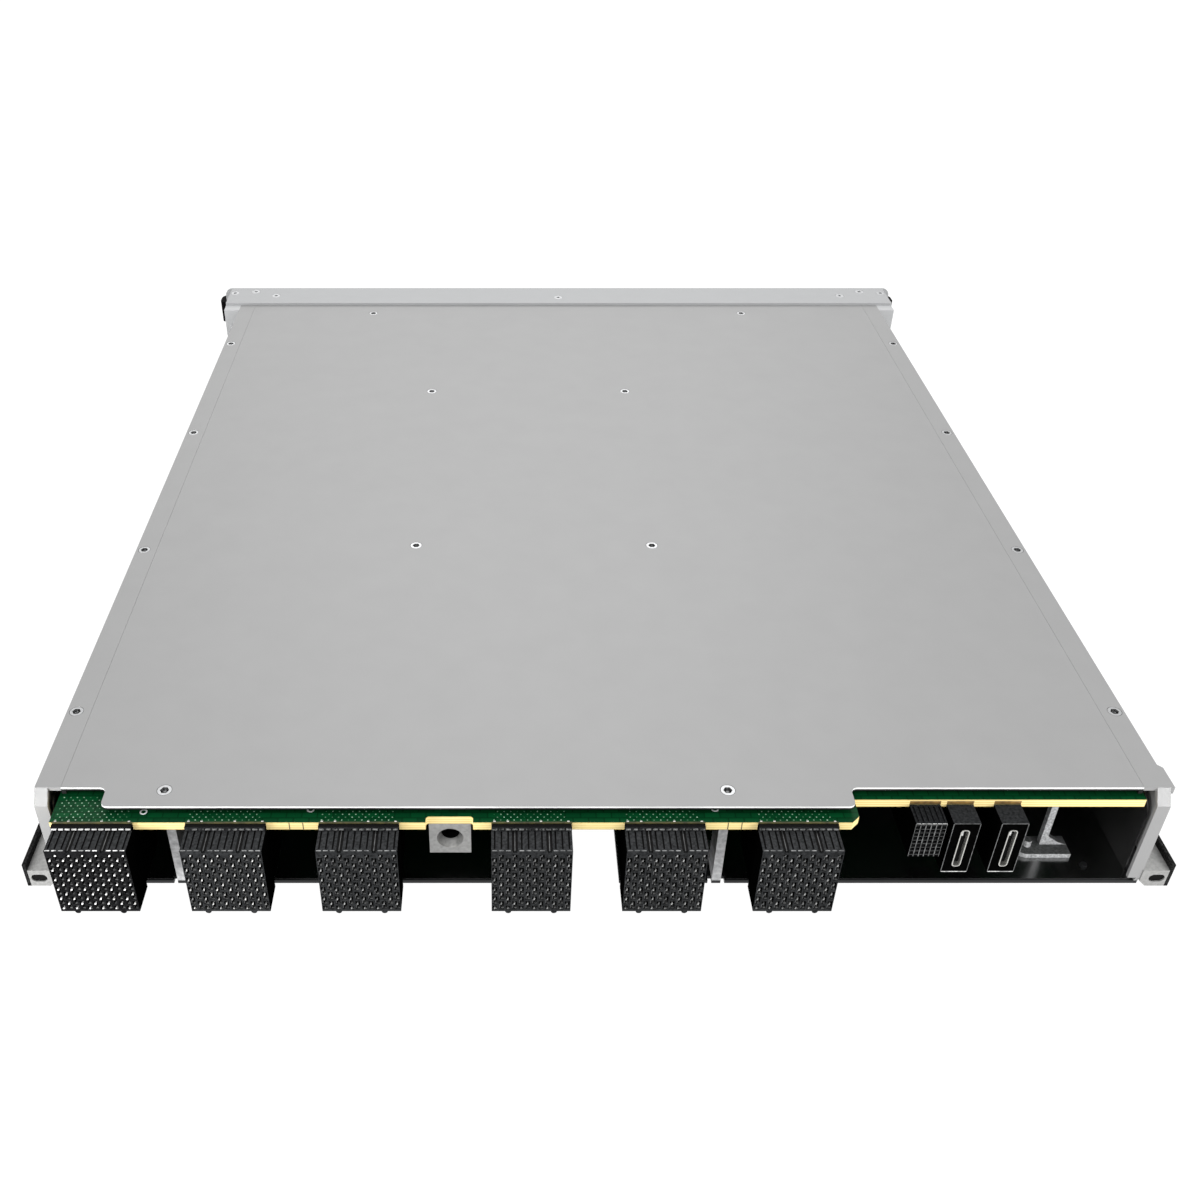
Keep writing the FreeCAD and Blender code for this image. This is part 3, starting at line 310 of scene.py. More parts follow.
# Gold-flashed contact tips: the first connector's catch the light in a white painted highlight, the second's
# in a half-bright one, and the others are duller. The white highlight also colours the first connector's
# clips and the plated holes.
PAINTED_HIGHLIGHT_WHITE = Finish("painted_highlight_white", "ffffff", "cfcfcc", 0.3, 0.2, mottle_mm=2.5, contrast=3.0)
TIP_HALF_HIGHLIGHT = Finish("contact_tip_half_highlight", "dededb", "6f706f", 0.3, 0.3, mottle_mm=2.5, contrast=4.0)
DIM_TIP = Finish("grey_contact_tip", "9c9d9c", "4a4b4b", 0.35, 0.3, mottle_mm=2.5, contrast=4.0)
# Painted highlights along the connectors' front top edges: bright on the first connector, grey on the others.
RIM_HIGHLIGHT_BRIGHT = Finish("rim_painted_highlight_bright", "f4f4f3", "8a8b8b", 0.4, mottle_mm=2.5, contrast=5.0)
RIM_HIGHLIGHT_GREY = Finish("rim_painted_highlight_grey", "8c8d8d", "4b4c4d", 0.4, mottle_mm=2.2, contrast=5.0)
# The thin fin that stands in each groove of a connector's top.
GROOVE_FIN = Finish("groove_fin_polymer", "4a4b4b", "1d1d1e", 0.45, mottle_mm=2.0, contrast=3.0)
# Stamped clips that hold the wafers together.
CLIP_METAL = Finish("stamped_wafer_clip", "8f908f", "2b2c2d", 0.35, 0.3, mottle_mm=1.6, contrast=5.0)
# Painted highlights on dark housings: grey lines and grids, and bright ones where they catch the light.
HIGHLIGHT_LINE_GREY = Finish("painted_highlight_line_grey", "6f7070", "2f3030", 0.5, mottle_mm=1.6, contrast=3.0)
HIGHLIGHT_LINE_BRIGHT = Finish("painted_highlight_line_bright", "e4e4e3", "8c8d8d", 0.5, mottle_mm=1.4, contrast=3.0)
# Dark olive on the board's edge: the routed tabs' break lines, and a band at its foot above each connector.
OLIVE_EDGE_MARK = Finish("olive_edge_mark", "4f4a28", "2f2e1a", 0.5, mottle_mm=2.5, contrast=3.0)
# A brown band on the board's edge above the side connectors, over the olive one.
BROWN_EDGE_BAND = Finish("brown_edge_band", "8a6a34", "5c4424", 0.6, mottle_mm=1.6, contrast=3.0)
# Tinned lands, half sunk in the mask.
VIA_TIN = Finish("tinned_land", "a6c6ac", "225a37", 0.4, 0.1, mottle_mm=1.6, contrast=5.0)

NODE_FINISHES: dict[str, Finish | FacingShadeFinish] = {
    "top_cover": PLATED_SHEET, "left_side_frame": PLATED_SHEET, "right_side_frame": PLATED_SHEET,
    "bottom_tray": TRAY_STEEL, "insulator_film": BLACK_FILM, "faceplate": PANEL_COAT,
    "left_end_bracket": END_BRACKET, "right_end_bracket": END_BRACKET, "corner_bracket": CORNER_METAL,
    "left_guide_rail": DIE_CAST, "right_guide_rail": DIE_CAST, "guide_socket": DIE_CAST,
    "left_runner_strip": ACETAL, "right_runner_strip": ACETAL,
    "left_rear_post": BRACKET_METAL, "middle_rear_post": BRACKET_METAL,
    "power_contact_1": TIN_PLATE, "power_contact_2": TIN_PLATE,
    "left_ejector": LEVER_COAT, "right_ejector": LEVER_COAT,
    "left_ejector_pin": SCREW_PLATE, "right_ejector_pin": SCREW_PLATE,
    "left_thumbscrew": SCREW_PLATE, "right_thumbscrew": SCREW_PLATE, "thumbscrew_ferrules": SCREW_PLATE,
    "cover_screws": SCREW_PLATE, "strip_screws": SCREW_PLATE, "flange_screws": SCREW_PLATE,
    "tray_screws": SCREW_PLATE, "heatsink_screws": SCREW_PLATE, "cover_spacers": SCREW_PLATE,
    "board_standoffs": SCREW_PLATE, "port_receptacles": RECEPTACLE_PLASTIC, "capacitors": CAN_METAL,
}
NODE_FAMILIES: dict[str, Finish] = {
    "port_cage": CAGE_STEEL, "heatsink": SINK_METAL, "switch_chip": CHIP_EPOXY, "power_brick": BRICK_CASE,
}


def node_finish(name: str) -> Finish | FacingShadeFinish | None:
    """Find the finish of a CAD node.

    Args:
        name: The node's name.

    Returns:
        Its finish, or None where a class of its own dresses the node.
    """
    if name in NODE_FINISHES:
        return NODE_FINISHES[name]
    for family, finish in NODE_FAMILIES.items():
        if name.startswith(family):
            return finish
    return None


def dress(obj: bpy.types.Object, material: bpy.types.Material) -> None:
    """Put one material on every slot of an object.

    Args:
        obj: The object.
        material: The material.
    """
    if not obj.material_slots:
        obj.data.materials.append(material)
    for holder in obj.material_slots:
        holder.material = material


# ---------------------------------------------------------------- mesh helper
class MeshMaker:
    """Collects faces with material numbers and turns them into one object."""

    def __init__(self, name: str) -> None:
        """Start an empty mesh.

        Args:
            name: The name of the piece.
        """
        self.name = name
        self.points: list[tuple[float, float, float]] = []
        self.faces: list[tuple[int, ...]] = []
        self.numbers: list[int] = []

    def face(self, corners: list[tuple[float, float, float]], number: int = 0) -> None:
        """Add one face.

        Args:
            corners: Its corners, in metres and anticlockwise from outside.
            number: Material number of the face.
        """
        start = len(self.points)
        self.points.extend(corners)
        self.faces.append(tuple(range(start, start + len(corners))))
        self.numbers.append(number)

    def block(self, low: tuple[float, float, float], high: tuple[float, float, float], number: int = 0,
              skip: str = "") -> None:
        """Add a box.

        Args:
            low: Its lowest corner, in metres.
            high: Its highest corner, in metres.
            number: Material number of its faces.
            skip: Letters of the sides left out: w, e, s, n, b, t.
        """
        (x0, y0, z0), (x1, y1, z1) = low, high
        sides = {"w": [(x0, y0, z0), (x0, y0, z1), (x0, y1, z1), (x0, y1, z0)],
                 "e": [(x1, y0, z0), (x1, y1, z0), (x1, y1, z1), (x1, y0, z1)],
                 "s": [(x0, y0, z0), (x1, y0, z0), (x1, y0, z1), (x0, y0, z1)],
                 "n": [(x0, y1, z0), (x0, y1, z1), (x1, y1, z1), (x1, y1, z0)],
                 "b": [(x0, y0, z0), (x0, y1, z0), (x1, y1, z0), (x1, y0, z0)],
                 "t": [(x0, y0, z1), (x1, y0, z1), (x1, y1, z1), (x0, y1, z1)]}
        for letter, corners in sides.items():
            if letter not in skip:
                self.face(corners, number)

    def pocket(self, low: tuple[float, float, float], high: tuple[float, float, float],
               number: int = 0) -> None:
        """Line a recess that opens towards -Y.

        Args:
            low: The recess's lowest corner, in metres.
            high: Its highest corner, in metres.
            number: Material number of the lining.
        """
        (x0, y0, z0), (x1, y1, z1) = low, high
        self.face([(x0, y0, z0), (x0, y1, z0), (x0, y1, z1), (x0, y0, z1)], number)
        self.face([(x1, y0, z0), (x1, y0, z1), (x1, y1, z1), (x1, y1, z0)], number)
        self.face([(x0, y0, z0), (x1, y0, z0), (x1, y1, z0), (x0, y1, z0)], number)
        self.face([(x0, y0, z1), (x0, y1, z1), (x1, y1, z1), (x1, y0, z1)], number)
        self.face([(x0, y1, z0), (x1, y1, z0), (x1, y1, z1), (x0, y1, z1)], number)

    def slab(self, outline: list[tuple[float, float]], near: float, far: float, number: int = 0) -> None:
        """Add a flat shape that stands across Y.

        Args:
            outline: Its corners as X and Z, anticlockwise when seen from -Y.
            near: Where its visible side lies along Y.
            far: Where its hidden side lies along Y.
            number: Material number of its faces.
        """
        self.face([(x, near, z) for x, z in outline], number)
        for (x0, z0), (x1, z1) in zip(outline, outline[1:] + outline[:1]):
            self.face([(x0, near, z0), (x0, far, z0), (x1, far, z1), (x1, near, z1)], number)

    def disc(self, middle: tuple[float, float, float], radius: float, hole: float = 0.0, sides: int = 16,
             number: int = 0) -> None:
        """Add a flat disc or ring that looks up.

        Args:
            middle: Its centre, in metres.
            radius: Its outer radius, in metres.
            hole: Its inner radius; none for a full disc.
            sides: Number of corners round it.
            number: Material number of its faces.
        """
        x, y, z = middle
        turns = [2 * math.pi * index / sides for index in range(sides)]
        outer = [(x + radius * math.cos(turn), y + radius * math.sin(turn), z) for turn in turns]
        if not hole:
            self.face(outer, number)
            return
        inner = [(x + hole * math.cos(turn), y + hole * math.sin(turn), z) for turn in turns]
        for index in range(sides):
            after = (index + 1) % sides
            self.face([inner[index], outer[index], outer[after], inner[after]], number)

    def finish(self, materials: list[bpy.types.Material], weld: bool = True) -> bpy.types.Object:
        """Make the object and report it.

        Args:
            materials: Materials, in the order of the numbers used.
            weld: Whether to join points that coincide.

        Returns:
            The new object, linked to the scene.
        """
        mesh = bpy.data.meshes.new(self.name)
        mesh.from_pydata(self.points, [], self.faces)
        for polygon, number in zip(mesh.polygons, self.numbers):
            polygon.material_index = number
        for material in materials:
            mesh.materials.append(material)
        if weld:
            work = bmesh.new()
            work.from_mesh(mesh)
            bmesh.ops.remove_doubles(work, verts=work.verts, dist=WELD)
            work.to_mesh(mesh)
            work.free()
        obj = bpy.data.objects.new(self.name, mesh)
        bpy.context.scene.collection.objects.link(obj)
        log.info("%s: %d faces", self.name, len(self.faces))
        return obj


# ---------------------------------------------------------------- studio
@dataclass(frozen=True)
class SoftLight:
    """One square area light: its place, side and aim in metres, its power in watts."""

    name: str
    place: tuple[float, float, float]
    side: float
    power: float
    aim: tuple[float, float, float] = (0, 0, 0)

    def build(self) -> None:
        """Add the light to the scene."""
        data = bpy.data.lights.new(self.name, "AREA")
        data.size = self.side
        data.energy = self.power
        light = bpy.data.objects.new(self.name, data)
        light.location = self.place
        light.rotation_euler = (Vector(self.aim) - Vector(self.place)).to_track_quat("-Z", "Y").to_euler()
        bpy.context.scene.collection.objects.link(light)


SOFT_LIGHTS = (
    SoftLight("key", (-0.9, -1.1, 1.9), 1.6, 26),
    SoftLight("fill", (1.4, -0.7, 1.2), 1.4, 14),
    SoftLight("back", (0.0, 1.8, 1.6), 1.6, 14),
    SoftLight("left_corner", (-0.34, -0.42, 0.04), 0.08, 0.8, (-0.2, -0.235, 0.03)),
    SoftLight("right_corner", (0.38, -0.48, 0.1), 0.1, 0.6, (0.21, -0.235, 0.02)),
)


@dataclass
class Studio:
    """Camera, soft lights and a pale floor; places and reaches in metres."""

    camera_place: tuple[float, float, float] = (-0.0358, -0.5585, 0.366)
    pitch_down: float = 35.75
    lens: float = 37.71
    sensor: float = 36.0
    shift_x: float = 0.0808
    clip_start: float = 0.01
    world_glow: float = 0.85
    floor_reach: float = 6.0
    floor_colour: str = "303030"
    floor_roughness: float = 0.9
    floor_glow: float = 1.0

    def add_camera(self) -> None:
        """Place the camera behind and above the card's connector end."""
        data = bpy.data.cameras.new("camera")
        data.lens = self.lens
        data.sensor_width = self.sensor
        data.shift_x = self.shift_x
        data.clip_start = self.clip_start
        camera = bpy.data.objects.new("camera", data)
        camera.location = self.camera_place
        camera.rotation_euler = (math.radians(90 - self.pitch_down), 0, 0)
        bpy.context.scene.collection.objects.link(camera)
        bpy.context.scene.camera = camera

    def add_floor(self) -> None:
        """Lay the pale floor just under the card."""
        maker = MeshMaker("studio_floor")
        reach = self.floor_reach
        maker.face([(-reach, -reach, 0), (reach, -reach, 0), (reach, reach, 0), (-reach, reach, 0)])
        material, _, shader = blank_material("studio_paper")
        shader.inputs["Base Color"].default_value = linear(self.floor_colour)
        shader.inputs["Roughness"].default_value = self.floor_roughness
        shader.inputs["Emission Color"].default_value = linear("ffffff")
        shader.inputs["Emission Strength"].default_value = self.floor_glow
        floor = maker.finish([material])

    def build(self) -> None:
        """Make the whole studio."""
        self.add_camera()
        for light in SOFT_LIGHTS:
            light.build()
        world = bpy.data.worlds.new("studio")
        bpy.context.scene.world = world
        world.use_nodes = True
        background = world.node_tree.nodes["Background"]
        background.inputs["Color"].default_value = linear("ffffff")
        background.inputs["Strength"].default_value = self.world_glow
        bpy.context.scene.view_settings.view_transform = "Standard"
        self.add_floor()
        log.info("studio: a camera and %d lights", len(SOFT_LIGHTS))


# ---------------------------------------------------------------- circuit board
@dataclass
class Board:
    """The main board's solder mask, bare edge, press-fit vias and plated holes.

    A plated hole's place is the gap between connectors that it stands in, its share of that gap's width and
    its distance in from the board's edge, in millimetres.
    """

    mask_colour: str = "04341a"
    copper_colour: str = "053e1f"
    mask_shadow: str = "032812"
    edge_colour: str = "f3e2a8"
    edge_line_colour: str = "dbbf78"
    mask_roughness: float = 0.3
    edge_roughness: float = 0.7
    shine: float = 0.08
    copper_mm: float = 11.0
    ply_wave_mm: float = 3.2
    via_radius_mm: float = 0.26
    rise_mm: float = 0.04
    column_pitch_mm: float = 2.37
    first_column_share: float = 0.4
    row_pitch_mm: float = 1.4
    row_count: int = 9
    edge_gap_mm: float = 1.2
    peg_steps_mm: tuple[float, ...] = (1.1, 5.8, 17.5, 27.2)
    peg_mm: float = 0.8
    peg_inset_mm: float = 0.1
    peg_depth_mm: float = 0.5
    peg_rise_mm: float = 0.3
    ring_radius_mm: float = 1.4
    ring_hole_mm: float = 0.8
    ring_places: tuple[tuple[int, float, float], ...] = ((0, 0.15, 5.2), (1, 0.81, 6.3), (4, 0.23, 6.6))
    break_gaps: tuple[int, ...] = (1, 4)
    break_shares: tuple[float, ...] = (0.44, 0.70)
    break_line_mm: float = 0.35
    break_margin_mm: float = 0.1
    skin_mm: float = 0.02
    side_proud_mm: float = 9.5
    olive_band_share: float = 0.45
    brown_band_share: float = 0.8

    def board_material(self) -> bpy.types.Material:
        """FR-4 laminate: green solder mask on its faces and bare straw-coloured glass on its edges.

        Returns:
            The material; which finish shows depends only on the way a face looks.
        """
        material, tree, shader = blank_material("fr4_laminate")
        is_flat = facing_mask(tree, Facing.UP_OR_DOWN)
        place = add_node(tree, "ShaderNodeTexCoord").outputs["Object"]
        # Copper fields are half a copper_mm wide and a quarter deep.
        copper = add_node(tree, "ShaderNodeTexBrick", {"offset": 0.5},
                          {"Vector": place, "Scale": 1 / (self.copper_mm * MM), "Mortar Size": 0.02,
                           "Color1": linear(self.mask_colour), "Color2": linear(self.copper_colour),
                           "Mortar": linear(self.mask_shadow)})
        # Bands lie about 0.3 of a ply_wave_mm apart, so about 1 mm: real plies are too fine to show.
        plies = add_node(tree, "ShaderNodeTexWave", {"bands_direction": "Z"},
                         {"Vector": place, "Scale": 1 / (self.ply_wave_mm * MM), "Distortion": 0.4})
        edge = add_node(tree, "ShaderNodeMix", {"data_type": "RGBA"},
                        {0: plies.outputs["Fac"], 6: linear(self.edge_colour),
                         7: linear(self.edge_line_colour)})
        colour = add_node(tree, "ShaderNodeMix", {"data_type": "RGBA"},
                          {0: is_flat, 6: edge.outputs[2], 7: copper.outputs["Color"]})
        tree.links.new(colour.outputs[2], shader.inputs["Base Color"])
        rough = add_node(tree, "ShaderNodeMapRange",
                         inputs={"Value": is_flat, "To Min": self.edge_roughness,
                                 "To Max": self.mask_roughness})
        tree.links.new(rough.outputs[0], shader.inputs["Roughness"])
        shader.inputs["Specular IOR Level"].default_value = self.shine
        return material

    def add_vias(self, connectors: list[str]) -> None:
        """Add the tinned lands and the locating pegs that show behind each connector.

        Args:
            connectors: Names of the connectors' CAD nodes.
        """
        low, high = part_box("main_board")
        maker = MeshMaker("press_fit_vias")
        top = high[2] + self.rise_mm * MM
        peg = self.peg_mm * MM / 2
        peg_near = low[1] + self.peg_inset_mm * MM
        peg_far = peg_near + self.peg_depth_mm * MM
        for name in connectors:
            start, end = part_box(name)
            columns = int((end[0] - start[0]) / (self.column_pitch_mm * MM))
            for column in range(columns):
                for row in range(self.row_count):
                    steps = column + self.first_column_share + 0.5 * (row % 2)
                    x = start[0] + steps * self.column_pitch_mm * MM
                    y = low[1] + (self.edge_gap_mm + row * self.row_pitch_mm) * MM
                    maker.disc((x, y, top), self.via_radius_mm * MM, sides=8)
            for step in self.peg_steps_mm:
                x = start[0] + step * MM
                maker.block((x - peg, peg_near, high[2] - self.skin_mm * MM),
                            (x + peg, peg_far, high[2] + self.peg_rise_mm * MM), 1, "b")
        vias = maker.finish([VIA_TIN.material(), TIN_PLATE.material()], weld=False)
        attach(vias, "card")

    def add_rings(self, connectors: list[str]) -> None:
        """Add the plated fixing holes in the board between connectors.

        Args:
            connectors: Names of the connectors' CAD nodes.
        """
        low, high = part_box("main_board")
        maker = MeshMaker("plated_holes")
        boxes = sorted((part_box(name) for name in connectors), key=lambda pair: pair[0][0])
        for gap, share, inset_mm in self.ring_places:
            start, end = boxes[gap][1][0], boxes[gap + 1][0][0]
            place = (start + share * (end - start), low[1] + inset_mm * MM, high[2] + self.rise_mm * MM)
            maker.disc(place, self.ring_radius_mm * MM, self.ring_hole_mm * MM)
        # The plated rings are drawn in the white painted-highlight colour.
        rings = maker.finish([PAINTED_HIGHLIGHT_WHITE.material()], weld=False)
        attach(rings, "card")

    def add_edge_marks(self, connectors: list[str], side_connectors: list[str]) -> None:
        """Add the routed tabs' break lines, and the olive and brown bands at the foot of the edge above the
        side connectors.

        Args:
            connectors: Names of the rear connectors' CAD nodes.
            side_connectors: Names of the connectors on the set-back edge.
        """
        low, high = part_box("main_board")
        maker = MeshMaker("board_edge_marks")
        boxes = sorted((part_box(name) for name in connectors), key=lambda pair: pair[0][0])
        half = self.break_line_mm * MM / 2
        margin = self.break_margin_mm * MM
        near = low[1] - self.skin_mm * MM
        for gap in self.break_gaps:
            start, end = boxes[gap][1][0], boxes[gap + 1][0][0]
            for share in self.break_shares:
                x = start + share * (end - start)
                maker.block((x - half, near, low[2] + margin), (x + half, low[1], high[2] - margin), 0, "n")
        thickness = high[2] - low[2]
        for name in side_connectors:
            start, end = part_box(name)
            edge = start[1] + self.side_proud_mm * MM
            heights = [end[2], low[2] + self.olive_band_share * thickness, low[2] + self.brown_band_share * thickness]
            for number, (foot, head) in enumerate(zip(heights, heights[1:])):
                maker.block((start[0], edge - self.skin_mm * MM, foot), (end[0], edge, head), number, "n")
        marks = maker.finish([OLIVE_EDGE_MARK.material(), BROWN_EDGE_BAND.material()], weld=False)
        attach(marks, "card")

    def build(self, connectors: list[str], side_connectors: list[str]) -> None:
        """Dress the board and add what is plated or printed on it.

        Args:
            connectors: Names of the rear connectors' CAD nodes.
            side_connectors: Names of the connectors on the set-back edge.
        """
        dress(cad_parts["main_board"], self.board_material())
        self.add_vias(connectors)
        self.add_rings(connectors)
        self.add_edge_marks(connectors, side_connectors)


# ---------------------------------------------------------------- fabric connectors
@dataclass
class FabricConnector:
    """One backplane connector: contacts and shields in its cavities, rims and clips on its top.

    The sizes that place the cavities and the ribs repeat the solid's own.
    """

    node: str
    tip: Finish
    rim: Finish
    plastic: FacingShadeFinish
    clip: Finish
    tongue: Finish
    tip_width_mm: float = 0.5
    tip_height_mm: float = 1.0
    columns: int = 12
    rows: int = 6
    row_pitch_mm: float = 4.96
    drop_mm: float = 16.6
    stagger_mm: float = 1.24
    cell_width_mm: float = 1.75
    cell_height_mm: float = 4.0
    cell_depth_mm: float = 1.6
    height_mm: float = 31.1
    top_border_mm: float = 1.8
    bottom_border_mm: float = 1.0
    contact_setback_mm: float = 0.1
    tongue_setback_mm: float = 0.15
    tongue_gap_mm: float = 0.5
    tongue_rise_mm: float = 0.1
    tongue_clearance_mm: float = 0.8
    tip_rise_mm: float = 0.45
    tip_shift_mm: float = 0.2
    tip_lean_mm: float = 0.3
    tip_clearance_mm: float = 0.3
    blade_setback_mm: float = 0.1
    blade_lap_mm: float = 0.1
    blade_height_mm: float = 0.32
    lip_rise_mm: float = 1.7
    lip_depth_mm: float = 2.0
    lip_cap_mm: float = 0.1
    board_gap_mm: float = 0.05
    groove_shares: tuple[float, ...] = (0.29, 0.715)
    groove_width_mm: float = 1.3
    groove_edge_mm: float = 2.1
    fin_width_mm: float = 0.32
    fin_rise_mm: float = 0.1
    rib_width_mm: float = 0.6
    rib_depth_mm: float = 0.5
    rib_start_mm: float = 1.0
    rim_width_mm: float = 1.6
    rim_depth_mm: float = 0.4
    rim_rise_mm: float = 0.08
    clip_width_mm: float = 1.7
    clip_depth_mm: float = 0.5
    clip_height_mm: float = 0.35
    clip_rise_mm: float = 1.15
    olive_band_depth_mm: float = 0.4
    olive_band_rise_mm: float = 0.75
    skin_mm: float = 0.03

    def __post_init__(self) -> None:
        """Take the connector's place from its CAD box."""
        low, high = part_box(self.node)
        self.left = low[0]
        self.right = high[0]
        self.face_y = low[1]
        self.top = high[2] - self.lip_rise_mm * MM
        self.bottom = self.top - self.height_mm * MM
        self.lip_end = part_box("main_board")[0][1] - self.board_gap_mm * MM
        self.lip_start = self.lip_end - self.lip_depth_mm * MM

    def middles(self) -> Iterator[tuple[int, float]]:
        """Walk along the columns.

        Yields:
            Each column's number and middle X, in metres.
        """
        pitch = (self.right - self.left) / self.columns
        for column in range(self.columns):
            yield column, self.left + (column + 0.5) * pitch

    def cells(self) -> Iterator[tuple[float, float, float, float]]:
        """Walk over the cavities.

        Yields:
            Each cavity's middle X, middle Z, foot and head, in metres.
        """
        for column, x in self.middles():
            side = 1 if column % 2 else -1
            for row in range(self.rows):
                steps = (self.rows - 1) / 2 - row
                z = self.top + (steps * self.row_pitch_mm - self.drop_mm + side * self.stagger_mm) * MM
                foot = max(z - self.cell_height_mm * MM / 2, self.bottom + self.bottom_border_mm * MM)
                head = min(z + self.cell_height_mm * MM / 2, self.top - self.top_border_mm * MM)
                yield x, z, foot, head

    def add_contacts(self) -> None:
        """Line each cavity and stand a shield tongue, a contact tip and a ground blade in it."""
        maker = MeshMaker(self.node + "_contacts")
        skin = self.skin_mm * MM
        half = self.cell_width_mm * MM / 2 - skin
        back = self.face_y + self.cell_depth_mm * MM - skin
        front = self.face_y + self.contact_setback_mm * MM
        lean = self.tip_lean_mm * MM
        for x, z, foot, head in self.cells():
            floor = foot + 2 * skin
            # The cavity's lining is painted shade.
            maker.pocket((x - half, self.face_y + skin, foot + skin), (x + half, back, head - skin))
            tongue_top = min(z + self.tongue_rise_mm * MM, head - self.tongue_clearance_mm * MM)
            maker.block((x - half, front + self.tongue_setback_mm * MM, floor),
                        (x - self.tongue_gap_mm * MM, back, tongue_top), 1, "nw")
            tip_foot = z + (self.tip_rise_mm - self.tip_height_mm / 2) * MM
            tip_head = min(tip_foot + self.tip_height_mm * MM, head - self.tip_clearance_mm * MM)
            left = x - (self.tip_shift_mm + self.tip_width_mm / 2) * MM
            right = left + self.tip_width_mm * MM
            maker.slab([(left, tip_foot), (right, tip_foot), (right + lean / 2, tip_head),
                        (left + lean, tip_head)], front, back, 2)
            maker.block((x - self.blade_lap_mm * MM, front + self.blade_setback_mm * MM, floor),
                        (x + half - skin, back, foot + self.blade_height_mm * MM), 3, "n")
        contacts = maker.finish([CAVITY.material(), self.tongue.material(), self.tip.material(),
                                 BLADE.material()], weld=False)
        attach(contacts, "card")

    def add_wafers(self, maker: MeshMaker, grooves: list[float], end: float) -> None:
        """Add the shadow gap, the painted-highlight rim and the clip of each wafer.

        Args:
            maker: Mesh under construction.
            grooves: Middle X of each groove, in metres; no wafer's gap or rim is near one.
            end: Where the wafers end along Y, in metres.
        """
        skin = self.skin_mm * MM
        rib = self.rib_width_mm * MM / 2 - skin
        clearance = self.groove_width_mm * MM / 2 - skin + rib
        start = self.face_y + self.rib_start_mm * MM + skin
        floor = self.top - self.rib_depth_mm * MM + skin
        rim = self.rim_width_mm * MM / 2
        clip = self.clip_width_mm * MM / 2
        rise = self.top + self.clip_rise_mm * MM
        for _, x in self.middles():
            if min(abs(x - middle) for middle in grooves) > clearance:
                maker.face([(x - rib, start, floor), (x + rib, start, floor), (x + rib, end, floor),
                            (x - rib, end, floor)])
                maker.block((x - rim, self.face_y + skin, self.top - skin),
                            (x + rim, self.face_y + self.rim_depth_mm * MM, self.top + self.rim_rise_mm * MM),
                            1, "b")
            maker.block((x - clip, end - self.clip_depth_mm * MM, rise - self.clip_height_mm * MM),
                        (x + clip, end, rise), 2, "n")

    def add_top(self) -> None:
        """Add the wafers' marks, the grooves with their fins, the rear lip's cap and the olive band in front
        of the board's edge above it.
        """
        maker = MeshMaker(self.node + "_top")
        skin = self.skin_mm * MM
        grooves = [self.left + share * (self.right - self.left) for share in self.groove_shares]
        end = self.lip_start - skin
        self.add_wafers(maker, grooves, end)
        edge = self.groove_edge_mm * MM / 2
        fin = self.fin_width_mm * MM / 2
        # Each groove is a black strip, painted shade in its depth, with a lighter fin along it.
        for x in grooves:
            maker.block((x - edge, self.face_y + skin, self.top - skin), (x + edge, end, self.top + skin),
                        0, "b")
            maker.block((x - fin, self.face_y + skin, self.top),
                        (x + fin, end, self.top + self.fin_rise_mm * MM), 3, "b")
        # The black cap over the rear lip is painted shade where the lip meets the board.
        cap = self.top + (self.lip_rise_mm + self.lip_cap_mm) * MM
        maker.block((self.left + skin, self.lip_start - skin, self.top + skin),
                    (self.right - skin, self.lip_end, cap), 0, "bn")
        maker.block((self.left + skin, self.lip_end - self.olive_band_depth_mm * MM, cap),
                    (self.right - skin, self.lip_end, self.top + (self.lip_rise_mm + self.olive_band_rise_mm) * MM),
                    4, "bn")
        piece = maker.finish([CAVITY.material(), self.rim.material(), self.clip.material(),
                              GROOVE_FIN.material(), OLIVE_EDGE_MARK.material()], weld=False)
        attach(piece, "card")

    def build(self) -> None:
        """Dress the housing, then add its contacts and its top."""
        dress(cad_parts[self.node], self.plastic.material())
        self.add_contacts()
        self.add_top()


# ---------------------------------------------------------------- signal and power connectors
@dataclass
class OutlinedFace:
    """Painted highlight lines round the rear face of a dark housing."""

    line_mm: float = 0.22
    foot_line_mm: float = 0.352
    proud_mm: float = 0.03

    def outline(self, maker: MeshMaker, low: Vector, high: Vector, number: int, sides: str) -> None:
        """Add the lines on the chosen sides.

        Args:
            maker: Mesh under construction.
            low: The face's lowest corner; its Y is the face's plane.
            high: The face's highest corner.
            number: Material number of the lines.
            sides: Letters of the sides: w, e, b, t.
        """
        width = self.line_mm * MM
        foot_top = low[2] + self.foot_line_mm * MM
        near, far = low[1] - self.proud_mm * MM, low[1]
        spans = {"w": (low[0], low[0] + width, low[2], high[2]),
                 "e": (high[0] - width, high[0], low[2], high[2]),
                 "b": (low[0], high[0], low[2], foot_top),
                 "t": (low[0], high[0], high[2] - width, high[2])}
        for side in sides:
            x0, x1, z0, z1 = spans[side]
            maker.block((x0, near, z0), (x1, far, z1), number, "n")


